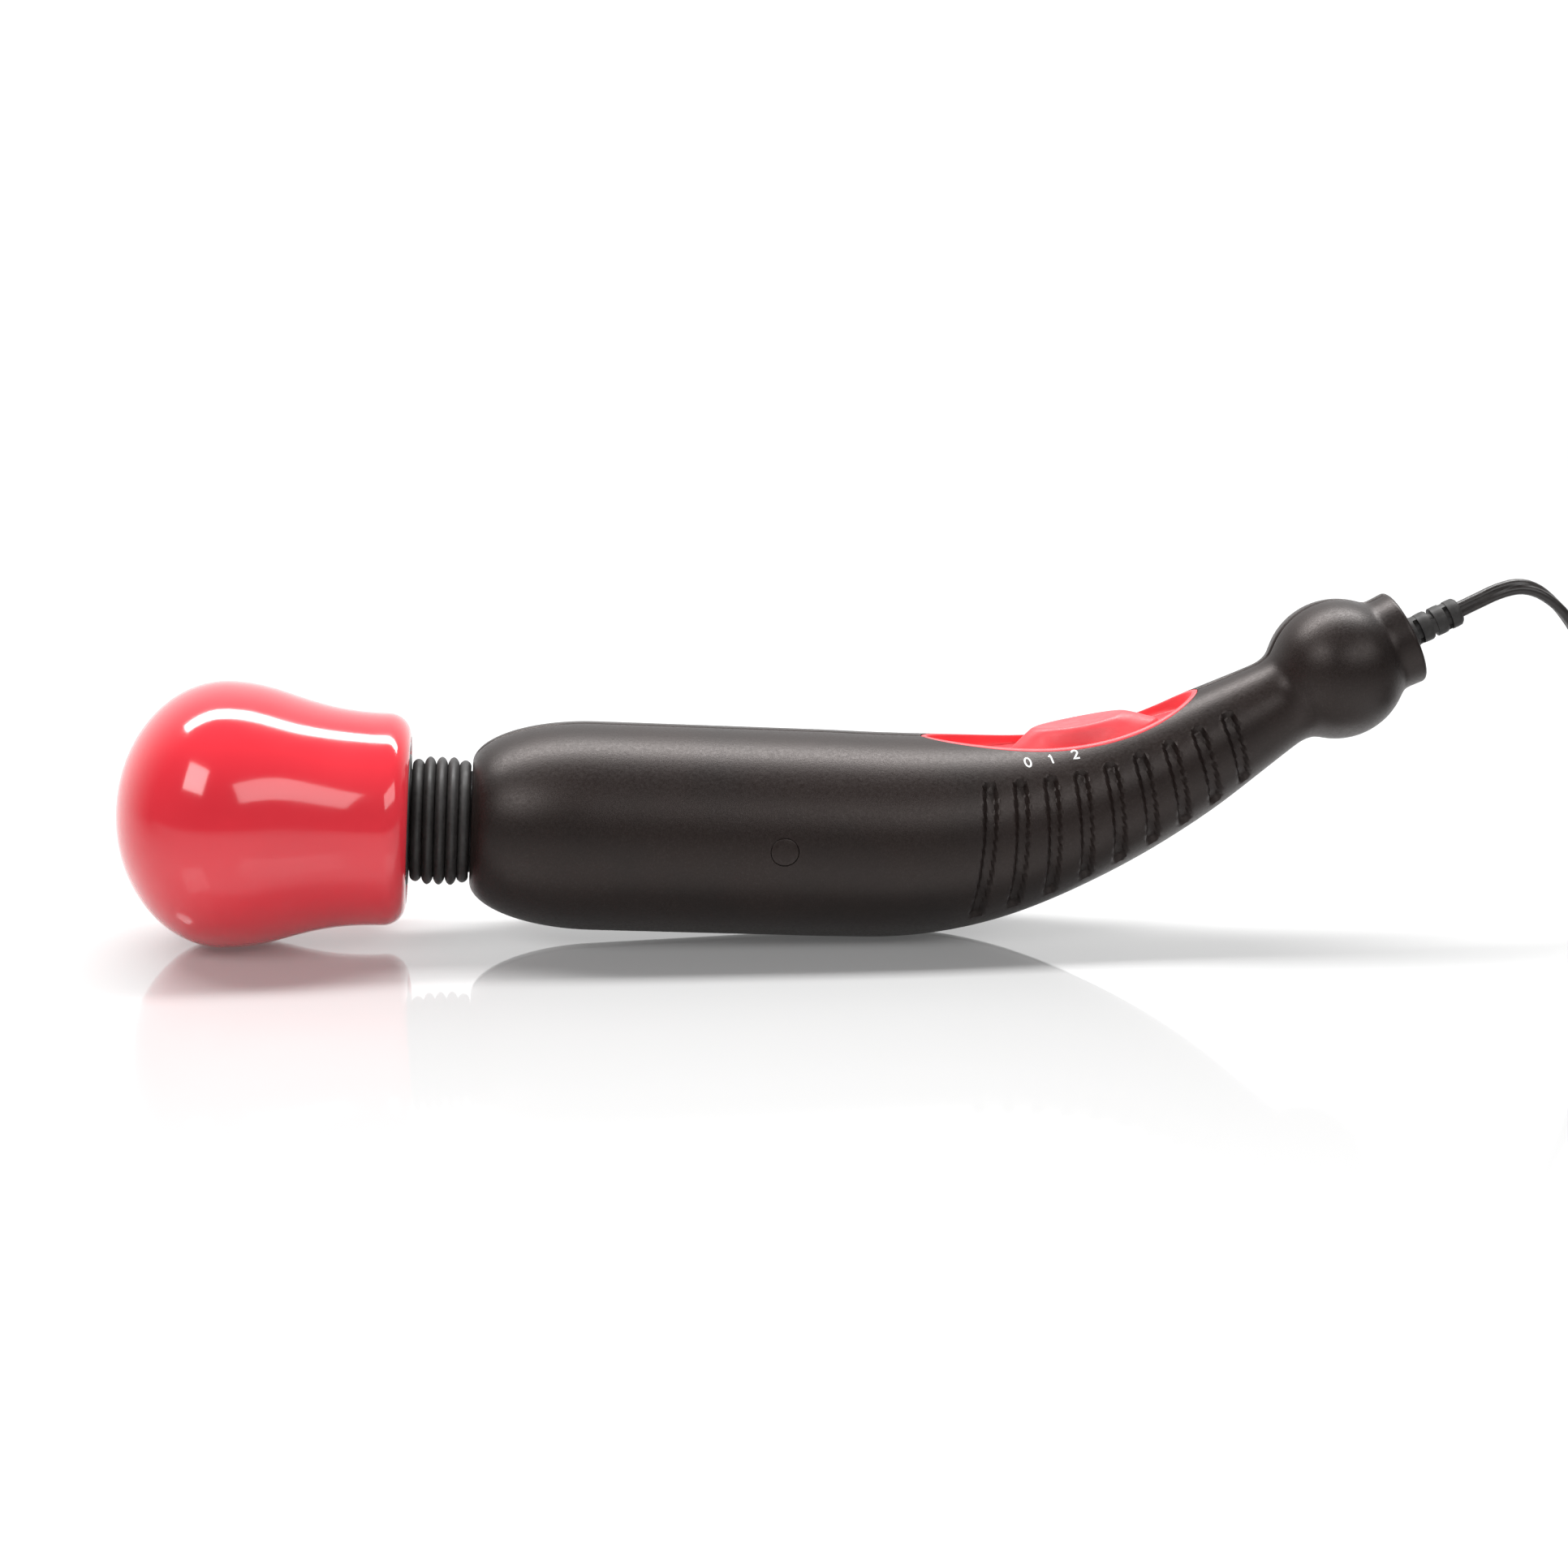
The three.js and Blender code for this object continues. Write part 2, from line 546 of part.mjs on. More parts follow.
function strainRelief() {
  const outer = [[-7.2, 5.2], [-4.9, 5.2], [-4.9, 3.5], [2.4, 3.5]];
  for (const start of [2.4, 6, 9.6]) {
    outer.push([start + 0.05, 2.5], [start + 1.1, 2.5], [start + 1.15, 3.4], [start + 3.5, 3.2]);
  }
  return lathe([[-7.2, 0], ...outer, [13.4, 3], [13.4, 0]], 16);
}

const strainFrame = new THREE.Group();
strainFrame.position.copy(beyondBall(COLLAR_END));
strainFrame.rotation.y = -rad(COLLAR_ANGLE);
strainFrame.add(piece("strain_relief", strainRelief(), BLACK, 0.7));

const half = ADAPTER_SIZE.z / 2;
const adapterBlock = solid(roundedBlock(ADAPTER_SIZE.x, ADAPTER_SIZE.y, ADAPTER_SIZE.z, 5));
const lowerBox = box(60, 60, 20, xyz(0, 0, half - 10 - GAP / 2));
const upperBox = box(60, 60, 20, xyz(0, 0, half + 10 + GAP / 2));
const adapterRoom = roundedBlock(ADAPTER_SIZE.x - 4.4, ADAPTER_SIZE.y - 4.4, ADAPTER_SIZE.z - 4.4, 4);
const inletX = -ADAPTER_SIZE.x / 2;
const inletBore = tube(inletX - 5, inletX + 6, 3.4, 0, 16).translate(0, 0, ADAPTER_INLET_Z);
const adapterShell = cut(adapterBlock, adapterRoom.translate(0, 0, 2.2), inletBore);
const BLADES = [{ name: "adapter_blade_left", y: -6.35 }, { name: "adapter_blade_right", y: 6.35 }];
const bladeSlots = BLADES.map(({ y }) => box(7, 2.1, 8, xyz(0, y, ADAPTER_SIZE.z)));

function blade({ name, y }) {
  const shape = new THREE.Shape();
  const w = 3.15;
  const top = 16;
  shape.moveTo(-w, -5);
  shape.lineTo(w, -5);
  shape.lineTo(w, top - 2);
  shape.lineTo(w - 1.6, top);
  shape.lineTo(1.6 - w, top);
  shape.lineTo(-w, top - 2);
  const geometry = new THREE.ExtrudeGeometry(shape, { depth: 1.5, bevelEnabled: false });
  return piece(name, geometry.rotateX(Math.PI / 2).translate(0, y + 0.75, ADAPTER_SIZE.z), STEEL, 0.3, 1);
}

const adapterRelief = lathe([[-14, 0], [-14, 2.6], [-2, 3], [-2, 4.2], [-GAP, 4.2], [-GAP, 3], [3, 3],
  [3, 0]], 16);

const adapterFront = adapterShell.intersect(solid(lowerBox));
const adapterBack = cut(adapterShell.intersect(solid(upperBox)), ...bladeSlots);

const adapter = new THREE.Group();
adapter.position.set(ADAPTER_X + ADAPTER_SIZE.x / 2, ADAPTER_Y, 0);
adapter.add(
  piece("adapter_front_case", geometryOf(adapterFront), BLACK, 0.6),
  piece("adapter_back_case", geometryOf(adapterBack), BLACK, 0.6),
  piece("adapter_strain_relief", adapterRelief.translate(inletX, 0, ADAPTER_INLET_Z), BLACK, 0.7),
  ...BLADES.map(blade));

// ---- the whole part -----------------------------------------------------------------------
switchFrame.add(
  piece("slide_switch_case", geometryOf(switchCase), STEEL, 0.35, 1),
  piece("circuit_board", geometryOf(board), 0x2e6b3f, 0.6));

const wand = new THREE.Group();
wand.rotation.y = rad(WAND_TILT);
wand.position.set(WAND_X, 0, AXIS_HEIGHT);
wand.add(
  piece("head_cap", geometryOf(cap), RED, 0.12),
  piece("head_rear_plate", geometryOf(rearPlate), BLACK, 0.5),
  ...HEAD_SCREW_ANGLES.map((angle, i) => headScrew(angle, i + 1)),
  piece("motor_cradle", tube(-121, -91.4, 13.6, 12.1, 28), BLACK, 0.6),
  piece("motor_boot", tube(-118.5, -94, 11.8, 10.9, 28), 0x3a3a3a, 0.9),
  piece("motor_can", motorCan, STEEL, 0.3, 1),
  piece("motor_end_cap", tube(-93.6, -91.6, 10.2, 0, 24), 0xe8e4d8, 0.5),
  piece("motor_bush", tube(-122.2, -120.3, 3.2, 1.4, 16), 0xc79a4b, 0.4, 1),
  piece("motor_shaft", tube(-134, -115, 1, 0, 10), STEEL, 0.2, 1),
  piece("eccentric_weight", geometryOf(rotorWeight.add(weightHub)), STEEL, 0.4, 1),
  piece("neck_front_ferrule", ferrule(-90.4, -88.9, -82), STEEL, 0.4, 1),
  piece("neck_rear_ferrule", ferrule(-61.8, -63.3, -70), STEEL, 0.4, 1),
  piece("neck_bellows", bellows(), BLACK, 0.6),
  piece("neck_spring", sweep(new Helix(), SPRING_WIRE_R, 60, 6), STEEL, 0.3, 1),
  piece("motor_lead", sweep(motorLeadPath, 1.1, 12, 8), 0x8a1f1f, 0.6),
  piece("handle_left", geometryOf(handleLeft), BLACK, 0.6),
  piece("handle_right", geometryOf(handleRight), BLACK, 0.6),
  ...SCREWS.map(screwAlongY),
  piece("screw_plug", geometryOf(screwPlug), BLACK, 0.6),
  piece("switch_bezel", geometryOf(bezel), RED, 0.35),
  piece("speed_button", geometryOf(button), RED, 0.35),
  piece("slider_carrier", geometryOf(carrier), BLACK, 0.5),
  switchFrame,
  strainFrame);

const massager = new THREE.Group();
massager.add(
  wand,
  piece("cord_lead", sweep(routeCurve(LEAD_ROUTE), LEAD_R, 36, 8), BLACK, 0.5),
  piece("cord_coil", coilRing(), BLACK, 0.5),
  piece("cord_tie", coilTie(), BLACK, 0.7),
  piece("cord_adapter_lead", sweep(routeCurve(ADAPTER_ROUTE), LEAD_R, 8, 8), BLACK, 0.5),
  adapter);

export default massager;
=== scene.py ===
"""A handheld wand massager: the looks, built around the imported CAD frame.

Shapes are worked out in millimetres in the wand's own frame, where the barrel's axis is x and the
head points to -x, and are put into the row's frame in metres by WAND.
"""
import math
import bmesh
import bpy
import numpy as np
from mathutils import Matrix, Vector


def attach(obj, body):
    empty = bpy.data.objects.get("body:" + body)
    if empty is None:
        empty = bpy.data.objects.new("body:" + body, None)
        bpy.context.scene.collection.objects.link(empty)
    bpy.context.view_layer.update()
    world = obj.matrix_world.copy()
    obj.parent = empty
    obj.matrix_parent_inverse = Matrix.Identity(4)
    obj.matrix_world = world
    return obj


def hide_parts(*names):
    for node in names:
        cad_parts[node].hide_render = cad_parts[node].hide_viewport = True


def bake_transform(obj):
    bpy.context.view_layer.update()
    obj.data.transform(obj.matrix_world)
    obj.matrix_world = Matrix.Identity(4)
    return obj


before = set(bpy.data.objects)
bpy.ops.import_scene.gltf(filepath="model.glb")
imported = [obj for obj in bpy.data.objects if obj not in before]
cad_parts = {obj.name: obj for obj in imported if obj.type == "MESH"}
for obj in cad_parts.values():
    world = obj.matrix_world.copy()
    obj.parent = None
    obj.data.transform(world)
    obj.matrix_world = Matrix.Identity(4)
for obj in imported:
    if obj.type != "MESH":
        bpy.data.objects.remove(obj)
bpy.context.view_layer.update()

MM = 0.001
SCALE = Matrix.Scale(MM, 4)
ROW = SCALE  # millimetres in the row's frame to metres
WAND_TILT = math.radians(2.45)
WAND = Matrix.Translation((0.0002, 0, 0.02369)) @ Matrix.Rotation(WAND_TILT, 4, "Y") @ SCALE

# ---- camera ---------------------------------------------------------------------------------
TARGET = Vector((0.0003, 0, 0.0345))
CAMERA_AT = Vector((-0.0645, -0.5605, 0.1648))
CAMERA_ROLL = math.radians(1.0)


def add_camera():
    camera = bpy.data.objects.new("camera", bpy.data.cameras.new("camera"))
    bpy.context.scene.collection.objects.link(camera)
    camera.data.lens = 60
    camera.data.sensor_width = 36
    camera.data.clip_start = 0.01
    camera.data.clip_end = 20
    aim = (TARGET - CAMERA_AT).to_track_quat("-Z", "Y").to_matrix().to_4x4()
    camera.matrix_world = Matrix.Translation(CAMERA_AT) @ aim @ Matrix.Rotation(CAMERA_ROLL, 4, "Z")
    bpy.context.scene.camera = camera


add_camera()


# ---- mesh helpers ---------------------------------------------------------------------------
def add_object(name, points, faces, place=WAND):
    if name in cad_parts:
        name += "_fine"
    mesh = bpy.data.meshes.new(name)
    spots = np.array(points, float) @ np.array(place.to_3x3()).T + np.array(place.translation)
    mesh.from_pydata(spots.tolist(), [], faces)
    thing = bpy.data.objects.new(name, mesh)
    bpy.context.scene.collection.objects.link(thing)
    return thing


def shade(thing, angle=32):
    """Smooth shading with sharp edges where two faces meet at more than the angle, in degrees."""
    made = bmesh.new()
    made.from_mesh(thing.data)
    bmesh.ops.remove_doubles(made, verts=made.verts, dist=1e-7)
    bmesh.ops.recalc_face_normals(made, faces=made.faces)
    limit = math.radians(angle)
    for face in made.faces:
        face.smooth = True
    for edge in made.edges:
        edge.smooth = len(edge.link_faces) == 2 and edge.calc_face_angle(0) < limit
    made.to_mesh(thing.data)
    made.free()
    return thing


def ring_faces(rings, count, first=0):
    faces = []
    for i in range(rings - 1):
        for j in range(count):
            a, b = first + i * count + j, first + i * count + (j + 1) % count
            faces.append((a, b, b + count, a + count))
    return faces


def loft(name, rings, place=WAND, closed=False):
    """A skin over rings of points. Its ends are capped, or joined to each other when closed."""
    rings = np.array(rings, float)
    number, count = rings.shape[:2]
    faces = ring_faces(number, count)
    if closed:
        last = (number - 1) * count
        faces += [(last + j, last + (j + 1) % count, (j + 1) % count, j) for j in range(count)]
    else:
        faces.append(tuple(range(count))[::-1])
        faces.append(tuple(range((number - 1) * count, number * count)))
    return add_object(name, rings.reshape(-1, 3), faces, place)


def strip_loft(name, rings, place=WAND):
    """A loft whose end caps are strips across y; point k of each ring mirrors point -k."""
    rings = np.array(rings, float)
    number, count = rings.shape[:2]
    faces = ring_faces(number, count)
    for row, flip in ((0, True), (number - 1, False)):
        start = row * count
        for k in range(count // 2):
            quad = [start + k, start + k + 1, start + count - k - 1, start + (count - k) % count]
            quad = list(dict.fromkeys(quad))
            faces.append(tuple(quad[::-1] if flip else quad))
    return add_object(name, rings.reshape(-1, 3), faces, place)


def lathe(name, profile, sides=96, place=WAND):
    """A closed ring or solid about the x axis, from (x, radius) pairs in order round the section."""
    turns = np.linspace(0, 2 * math.pi, sides, endpoint=False)
    rings = [[(x, max(r, 0) * math.sin(t), max(r, 0) * math.cos(t)) for x, r in profile] for t in turns]
    return loft(name, rings, place, closed=True)


def cut(thing, other, solver="MANIFOLD"):
    """Cuts another object out of a thing, and removes it."""
    shade(other)  # the solver needs faces that look outwards
    modifier = thing.modifiers.new("cut", "BOOLEAN")
    modifier.operation = "DIFFERENCE"
    modifier.solver = solver
    modifier.object = other
    graph = bpy.context.evaluated_depsgraph_get()
    made = bpy.data.meshes.new_from_object(thing.evaluated_get(graph))
    thing.modifiers.clear()
    thing.data = made
    bpy.data.objects.remove(other)
    return thing


def arc(centre, radius, start, end, steps):
    """Points (x, r) on an arc between two angles in degrees."""
    angles = np.radians(np.linspace(start, end, steps + 1))
    return [(centre[0] + radius * math.cos(a), centre[1] + radius * math.sin(a)) for a in angles]


def bezier(a, b, c, d, steps):
    t = np.linspace(0, 1, steps + 1)[:, None]
    a, b, c, d = (np.array(p, float) for p in (a, b, c, d))
    return (1 - t) ** 3 * a + 3 * (1 - t) ** 2 * t * b + 3 * (1 - t) * t * t * c + t ** 3 * d


def catmull(points, steps):
    """A smooth line through points, with some steps between each pair."""
    p = np.array(points, float)
    p = np.vstack([2 * p[0] - p[1], p, 2 * p[-1] - p[-2]])
    out = []
    for i in range(1, len(p) - 2):
        for t in np.arange(steps) / steps:
            out.append(0.5 * (2 * p[i] + (p[i + 1] - p[i - 1]) * t
                              + (2 * p[i - 1] - 5 * p[i] + 4 * p[i + 1] - p[i + 2]) * t * t
                              + (3 * p[i] - p[i - 1] - 3 * p[i + 1] + p[i + 2]) * t ** 3))
    return np.array(out + [p[-2]])


def smoothstep(t):
    t = np.clip(t, 0, 1)
    return t * t * (3 - 2 * t)


def sweep(name, path, section, place=WAND, wide=(0, 0, 1), twist=None, closed=False):
    """A section of (across, up) points swept along a path; wide is the first ring's across way."""
    path = np.array(path, float)
    if closed:
        ways = np.roll(path, -1, 0) - np.roll(path, 1, 0)
    else:
        ways = np.gradient(path, axis=0)
    ways /= np.linalg.norm(ways, axis=1)[:, None]
    across = np.array(wide, float)
    rings = []
    for i, (at, way) in enumerate(zip(path, ways)):
        across = across - way * (across @ way)
        across /= np.linalg.norm(across)
        up = np.cross(way, across)
        turn = 0 if twist is None else twist[i]
        a = across * math.cos(turn) + up * math.sin(turn)
        b = up * math.cos(turn) - across * math.sin(turn)
        rings.append([at + a * u + b * v for u, v in section])
    return loft(name, rings, place, closed)


# ---- materials ------------------------------------------------------------------------------
class Look:
    """A Principled material with helpers for noise-driven colour, roughness and bump."""

    def __init__(self, name, color, roughness, **sockets):
        self.material = bpy.data.materials.new(name)
        self.material.use_nodes = True
        self.tree = self.material.node_tree
        self.shader = self.tree.nodes["Principled BSDF"]
        self.shader.inputs["Base Color"].default_value = (*color, 1)
        self.shader.inputs["Roughness"].default_value = roughness
        for socket, value in sockets.items():
            self.shader.inputs[socket.replace("_", " ")].default_value = value
        self.where = self.tree.nodes.new("ShaderNodeTexCoord").outputs["Object"]
        self.bump = None

    def node(self, kind, inputs=(), **settings):
        made = self.tree.nodes.new("ShaderNode" + kind)
        for key, value in settings.items():
            setattr(made, key, value)
        for key, value in dict(inputs).items():
            if isinstance(value, bpy.types.NodeSocket):
                self.tree.links.new(value, made.inputs[key])
            else:
                made.inputs[key].default_value = value
        return made

    def noise(self, size, detail=3, rough=0.5, stretch=None):
        """Noise with features of about this size in millimetres."""
        where = self.where
        if stretch is not None:
            where = self.node("Mapping", {"Vector": where, "Scale": stretch}).outputs["Vector"]
        return self.node("TexNoise", {"Vector": where, "Scale": 1 / (size * MM), "Detail": detail,
                                      "Roughness": rough}).outputs["Fac"]

    def cells(self, size, feature="F1"):
        return self.node("TexVoronoi", {"Vector": self.where, "Scale": 1 / (size * MM)},
                         feature=feature).outputs["Distance"]

    def map(self, value, low, high, out_low, out_high):
        return self.node("MapRange", {"Value": value, "From Min": low, "From Max": high,
                                      "To Min": out_low, "To Max": out_high}).outputs["Result"]

    def tint(self, value, other, low=0.35, high=0.65):
        """Mixes towards another colour where value is high."""
        mix = self.node("Mix", data_type="RGBA")
        self.tree.links.new(self.map(value, low, high, 0, 1), mix.inputs["Factor"])
        source = self.shader.inputs["Base Color"]
        if source.is_linked:
            self.tree.links.new(source.links[0].from_socket, mix.inputs["A"])
        else:
            mix.inputs["A"].default_value = source.default_value
        mix.inputs["B"].default_value = (*other, 1)
        self.tree.links.new(mix.outputs["Result"], source)
        return self

    def gloss(self, value, low, high, source=(0.3, 0.7)):
        self.tree.links.new(self.map(value, *source, low, high), self.shader.inputs["Roughness"])
        return self

    def relief(self, height, depth, strength=1.0):
        """Adds bump of this depth in millimetres."""
        made = self.node("Bump", {"Height": height, "Distance": depth * MM, "Strength": strength})
        if self.bump is not None:
            self.tree.links.new(self.bump, made.inputs["Normal"])
        self.bump = made.outputs["Normal"]
        self.tree.links.new(self.bump, self.shader.inputs["Normal"])
        return self


def red_gloss():
    look = Look("red_gloss", (0.70, 0.030, 0.046), 0.13, Coat_Weight=0.35, Coat_Roughness=0.06,
                Subsurface_Weight=0.06, Subsurface_Radius=(0.004, 0.001, 0.001), Subsurface_Scale=0.6)
    look.tint(look.noise(30, 2), (0.73, 0.038, 0.054)).gloss(look.noise(9, 3), 0.10, 0.17)
    return look.relief(look.noise(14, 2), 0.012, 0.35).material


def red_satin():
    look = Look("red_satin", (0.75, 0.052, 0.066), 0.42)
    look.tint(look.noise(8, 3), (0.80, 0.068, 0.08)).gloss(look.noise(2.5, 3), 0.36, 0.5)
    return look.relief(look.noise(0.16, 2, 0.6), 0.018, 0.5).material


def black_shell():
    look = Look("black_shell", (0.0105, 0.0062, 0.0052), 0.4, Specular_IOR_Level=0.38,
                Specular_Tint=(1, 0.9, 0.87, 1))
    look.tint(look.noise(0.55, 4, 0.7), (0.019, 0.0138, 0.0128), 0.5, 0.72)
    look.tint(look.noise(22, 3), (0.0068, 0.0048, 0.0044), 0.45, 0.75)
    look.gloss(look.noise(0.7, 4, 0.7), 0.33, 0.47)
    look.relief(look.cells(0.42, "SMOOTH_F1"), 0.03, 0.45)
    return look.relief(look.noise(0.25, 3, 0.65), 0.02, 0.6).material


def plain(name, color, other, roughness, grain=0.4, depth=0.015, **sockets):
    """A moulded or cast material with a little grain and unevenness."""
    look = Look(name, color, roughness, **sockets)
    look.tint(look.noise(grain * 3, 4, 0.6), other)
    look.gloss(look.noise(grain * 6, 3), roughness * 0.85, min(1, roughness * 1.2))
    return look.relief(look.noise(grain, 3, 0.6), depth, 0.6).material


def turned_metal(name, color, other, roughness):
    """Metal with fine lines round the wand's axis and a little tarnish."""
    look = Look(name, color, roughness, Metallic=1.0)
    look.tint(look.noise(3, 4, 0.6), other, 0.45, 0.7)
    look.gloss(look.noise(1.2, 3), roughness * 0.75, roughness * 1.35)
    return look.relief(look.noise(0.3, 2, 0.5, stretch=(6, 0.6, 0.6)), 0.01, 0.5).material


LOOKS = {
    "red_gloss": red_gloss(),
    "red_satin": red_satin(),
    "black_shell": black_shell(),
    "black_plastic": plain("black_plastic", (0.016, 0.013, 0.012), (0.026, 0.022, 0.021), 0.42),
    "black_rubber": plain("black_rubber", (0.012, 0.0105, 0.010), (0.022, 0.020, 0.019), 0.55, 0.3, 0.02),
    "lead_jacket": plain("lead_jacket", (0.012, 0.0095, 0.009), (0.021, 0.017, 0.016), 0.34, 0.5, 0.02),
    "red_wire": plain("red_wire", (0.33, 0.02, 0.02), (0.42, 0.03, 0.03), 0.4),
    "steel": turned_metal("steel", (0.55, 0.56, 0.58), (0.42, 0.42, 0.43), 0.3),
    "screw_steel": turned_metal("screw_steel", (0.5, 0.51, 0.53), (0.36, 0.35, 0.33), 0.28),
    "bronze": turned_metal("bronze", (0.60, 0.42, 0.20), (0.45, 0.29, 0.12), 0.38),
    "ivory_plastic": plain("ivory_plastic", (0.8, 0.77, 0.68), (0.72, 0.68, 0.58), 0.45),
    "board_green": plain("board_green", (0.05, 0.22, 0.09), (0.03, 0.16, 0.06), 0.35),
    "blade_brass": turned_metal("blade_brass", (0.72, 0.62, 0.42), (0.68, 0.58, 0.38), 0.24),
    "white_print": plain("white_print", (0.8, 0.8, 0.8), (0.66, 0.66, 0.66), 0.5, 0.12, 0.006),
}


def finish_piece(thing, look, body=None, nodes=(), angle=32):
    """Shades a piece, gives it its material and slot, and hangs it on its body."""
    shade(thing, angle)
    thing.data.materials.clear()
    thing.data.materials.append(LOOKS[look])
    if nodes:
        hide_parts(*nodes)
    if body:
        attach(thing, body)
    return thing


# ---- the cord -------------------------------------------------------------------------------
CORD_WIDTH = 3.7
CORD_THICK = 2.3
LEAD_ROUTE = [
    [152.4, 0, 73.4], [156.9, 0, 75.6], [161, 0, 77.5], [165.4, 0, 78.6], [169.4, 0, 78], [173.4, 0, 75.7],
    [177.6, 0, 71.7], [181.6, -0.2, 66], [185, -0.6, 58.9], [187.6, -1.4, 50.8], [189.4, -2.6, 42.1],
    [190.6, -4.8, 33.2], [191.6, -8, 24.5], [193.2, -12, 16.4], [196, -16.2, 9.6], [200.4, -20.6, 5.2],
    [206.7, -24.9, 3.3]]
ADAPTER_ROUTE = [
    [209.3, -28.8, 10.2], [214.6, -31.3, 9.9], [220, -33.1, 9.5], [225.6, -33.9, 9.1], [231.7, -34, 9]]
COIL_X = 224
COIL_START = -100.0  # degrees round the coil where the lead joins its outer turn
COIL_END = -142.0 + 12 * 360
COIL_RADII = (25.8, 15.0)
COIL_LAYERS = 4
COIL_LOW = 2.25  # height of the lowest layer's middle
LAYER_PITCH = 2.6
CLIMB_SHARE = 0.25  # a layer climbs on to the next over this last part of its turns


def coil_points():
    angles = np.arange(COIL_START, COIL_END + 1, 12.0)
    along = (angles - COIL_START) / (COIL_END - COIL_START) * COIL_LAYERS
    layer = np.minimum(np.floor(along), COIL_LAYERS - 1)
    part = along - layer
    inward = np.where(layer % 2 == 0, part, 1 - part)
    radius = COIL_RADII[0] + (COIL_RADII[1] - COIL_RADII[0]) * inward
    last = 1 - CLIMB_SHARE
    climb = np.where(layer < COIL_LAYERS - 1, smoothstep((part - last) / (1 - last)), 0)
    height = COIL_LOW + LAYER_PITCH * (layer + climb)
    turn = np.radians(angles)
    return np.stack([COIL_X + radius * np.cos(turn), radius * np.sin(turn), height], 1)


def cord_path():
    knots = np.vstack([LEAD_ROUTE, coil_points(), ADAPTER_ROUTE])
    return catmull(knots, 3)


def twin_section(width, thick, sides=10):
    """The outline of two round cores side by side under one jacket."""
    r = thick / 2
    gap = width / 2 - r
    points = []
    for side in (1, -1):
        for a in np.linspace(-125, 125, sides):
            turn = math.radians(a)
            points.append((side * (gap + r * math.cos(turn)), side * r * math.sin(turn)))
    return points


def add_cord():
    path = cord_path()
    step = np.linalg.norm(np.diff(path, axis=0), axis=1)
    run = np.concatenate([[0], np.cumsum(step)])
    # The cores lie one above the other at the exit and side by side from the top of the arch on.
    twist = math.pi / 2 * (1 - smoothstep((run - 4) / 26))
    piece = sweep("cord", path, twin_section(CORD_WIDTH, CORD_THICK), ROW, wide=(0, 1, 0), twist=twist)
    finish_piece(piece, "lead_jacket", "handle", ["cord_lead", "cord_coil", "cord_adapter_lead"], 60)
    return piece, path, run[-1]


# ---- handle ---------------------------------------------------------------------------------
MOUTH_X, MOUTH_R = -68.9, 13
NOSE_END_X = -42
BARREL_R = 23
BEND_START, BEND_R = 18, 137
BEND_ANGLE = math.radians(33)
BALL_S, BALL_R = 132.7, 15.75
COLLAR_ANGLE = math.radians(28)
COLLAR_R, COLLAR_END = 10.9, 17.2
COLLAR_EDGE = 0.9
BALL_TURN = 11.0  # the section turns from the spine's way to the collar's over this distance
TAPER = [[10, 23], [28, 22.6], [45, 20.95], [66.5, 17.35], [84, 14.7], [100, 12.6], [115, 10.5],
         [118.6, 10.2], [120.4, 10.6]]
SEAM = 0.15  # half the gap between the halves, whose edges fall away in a fine vee
SEAM_WIDTH, SEAM_DEPTH = 0.55, 0.45
WALL = 2.4
NECK_BORE_R = 11.4
CORD_BORE_R = 3.8
BALL_AFTER_BEND = BALL_S - BEND_START - BEND_R * BEND_ANGLE
BALL_AT = (BEND_START + BEND_R * math.sin(BEND_ANGLE) + BALL_AFTER_BEND * math.cos(BEND_ANGLE),
           BEND_R * (1 - math.cos(BEND_ANGLE)) + BALL_AFTER_BEND * math.sin(BEND_ANGLE))
TAPER_LINE = catmull(TAPER, 24)


def spine(s):
    """Centre and slope of the handle's section at distances s along it."""
    s = np.asarray(s, float)
    bend = np.clip((s - BEND_START) / BEND_R, 0, BEND_ANGLE)
    after = np.maximum(0, s - BEND_START - BEND_R * BEND_ANGLE)
    x = np.minimum(s, BEND_START) + BEND_R * np.sin(bend) + after * np.cos(bend)
    z = BEND_R * (1 - np.cos(bend)) + after * np.sin(bend)
    d = s - BALL_S
    slope = bend - (BEND_ANGLE - COLLAR_ANGLE) * smoothstep((d + BALL_TURN) / (2 * BALL_TURN))
    past = d > -BALL_TURN
    x = np.where(past, BALL_AT[0] + d * np.cos(slope), x)
    z = np.where(past, BALL_AT[1] + d * np.sin(slope), z)
    return x, z, slope



def smoothed_radius():
    """Radius along the spine from the nose's end to the collar's edge, with its creases rounded."""
    s = np.arange(NOSE_END_X, BALL_S + COLLAR_END + 6, 0.1)
    d = s - BALL_S
    ball = np.sqrt(np.maximum(0, BALL_R ** 2 - d * d))
    r = np.where(s < 10, BARREL_R, np.interp(s, TAPER_LINE[:, 0], TAPER_LINE[:, 1]))
    r = np.where(d > -12.6, np.maximum(np.minimum(r, 10.6), ball), r)
    r = np.where(d > 0, np.maximum(ball, COLLAR_R - 0.25 + 0.05 * (d - 12)), r)
    kernel = np.exp(-0.5 * (np.arange(-40, 41) / 9.0) ** 2)
    soft = np.convolve(np.pad(r, 40, mode="edge"), kernel / kernel.sum(), "valid")
    return s, np.where(s > 100, soft, r)


RADIUS_S, RADIUS_R = smoothed_radius()


def radius(s):
    return np.interp(s, RADIUS_S, RADIUS_R)


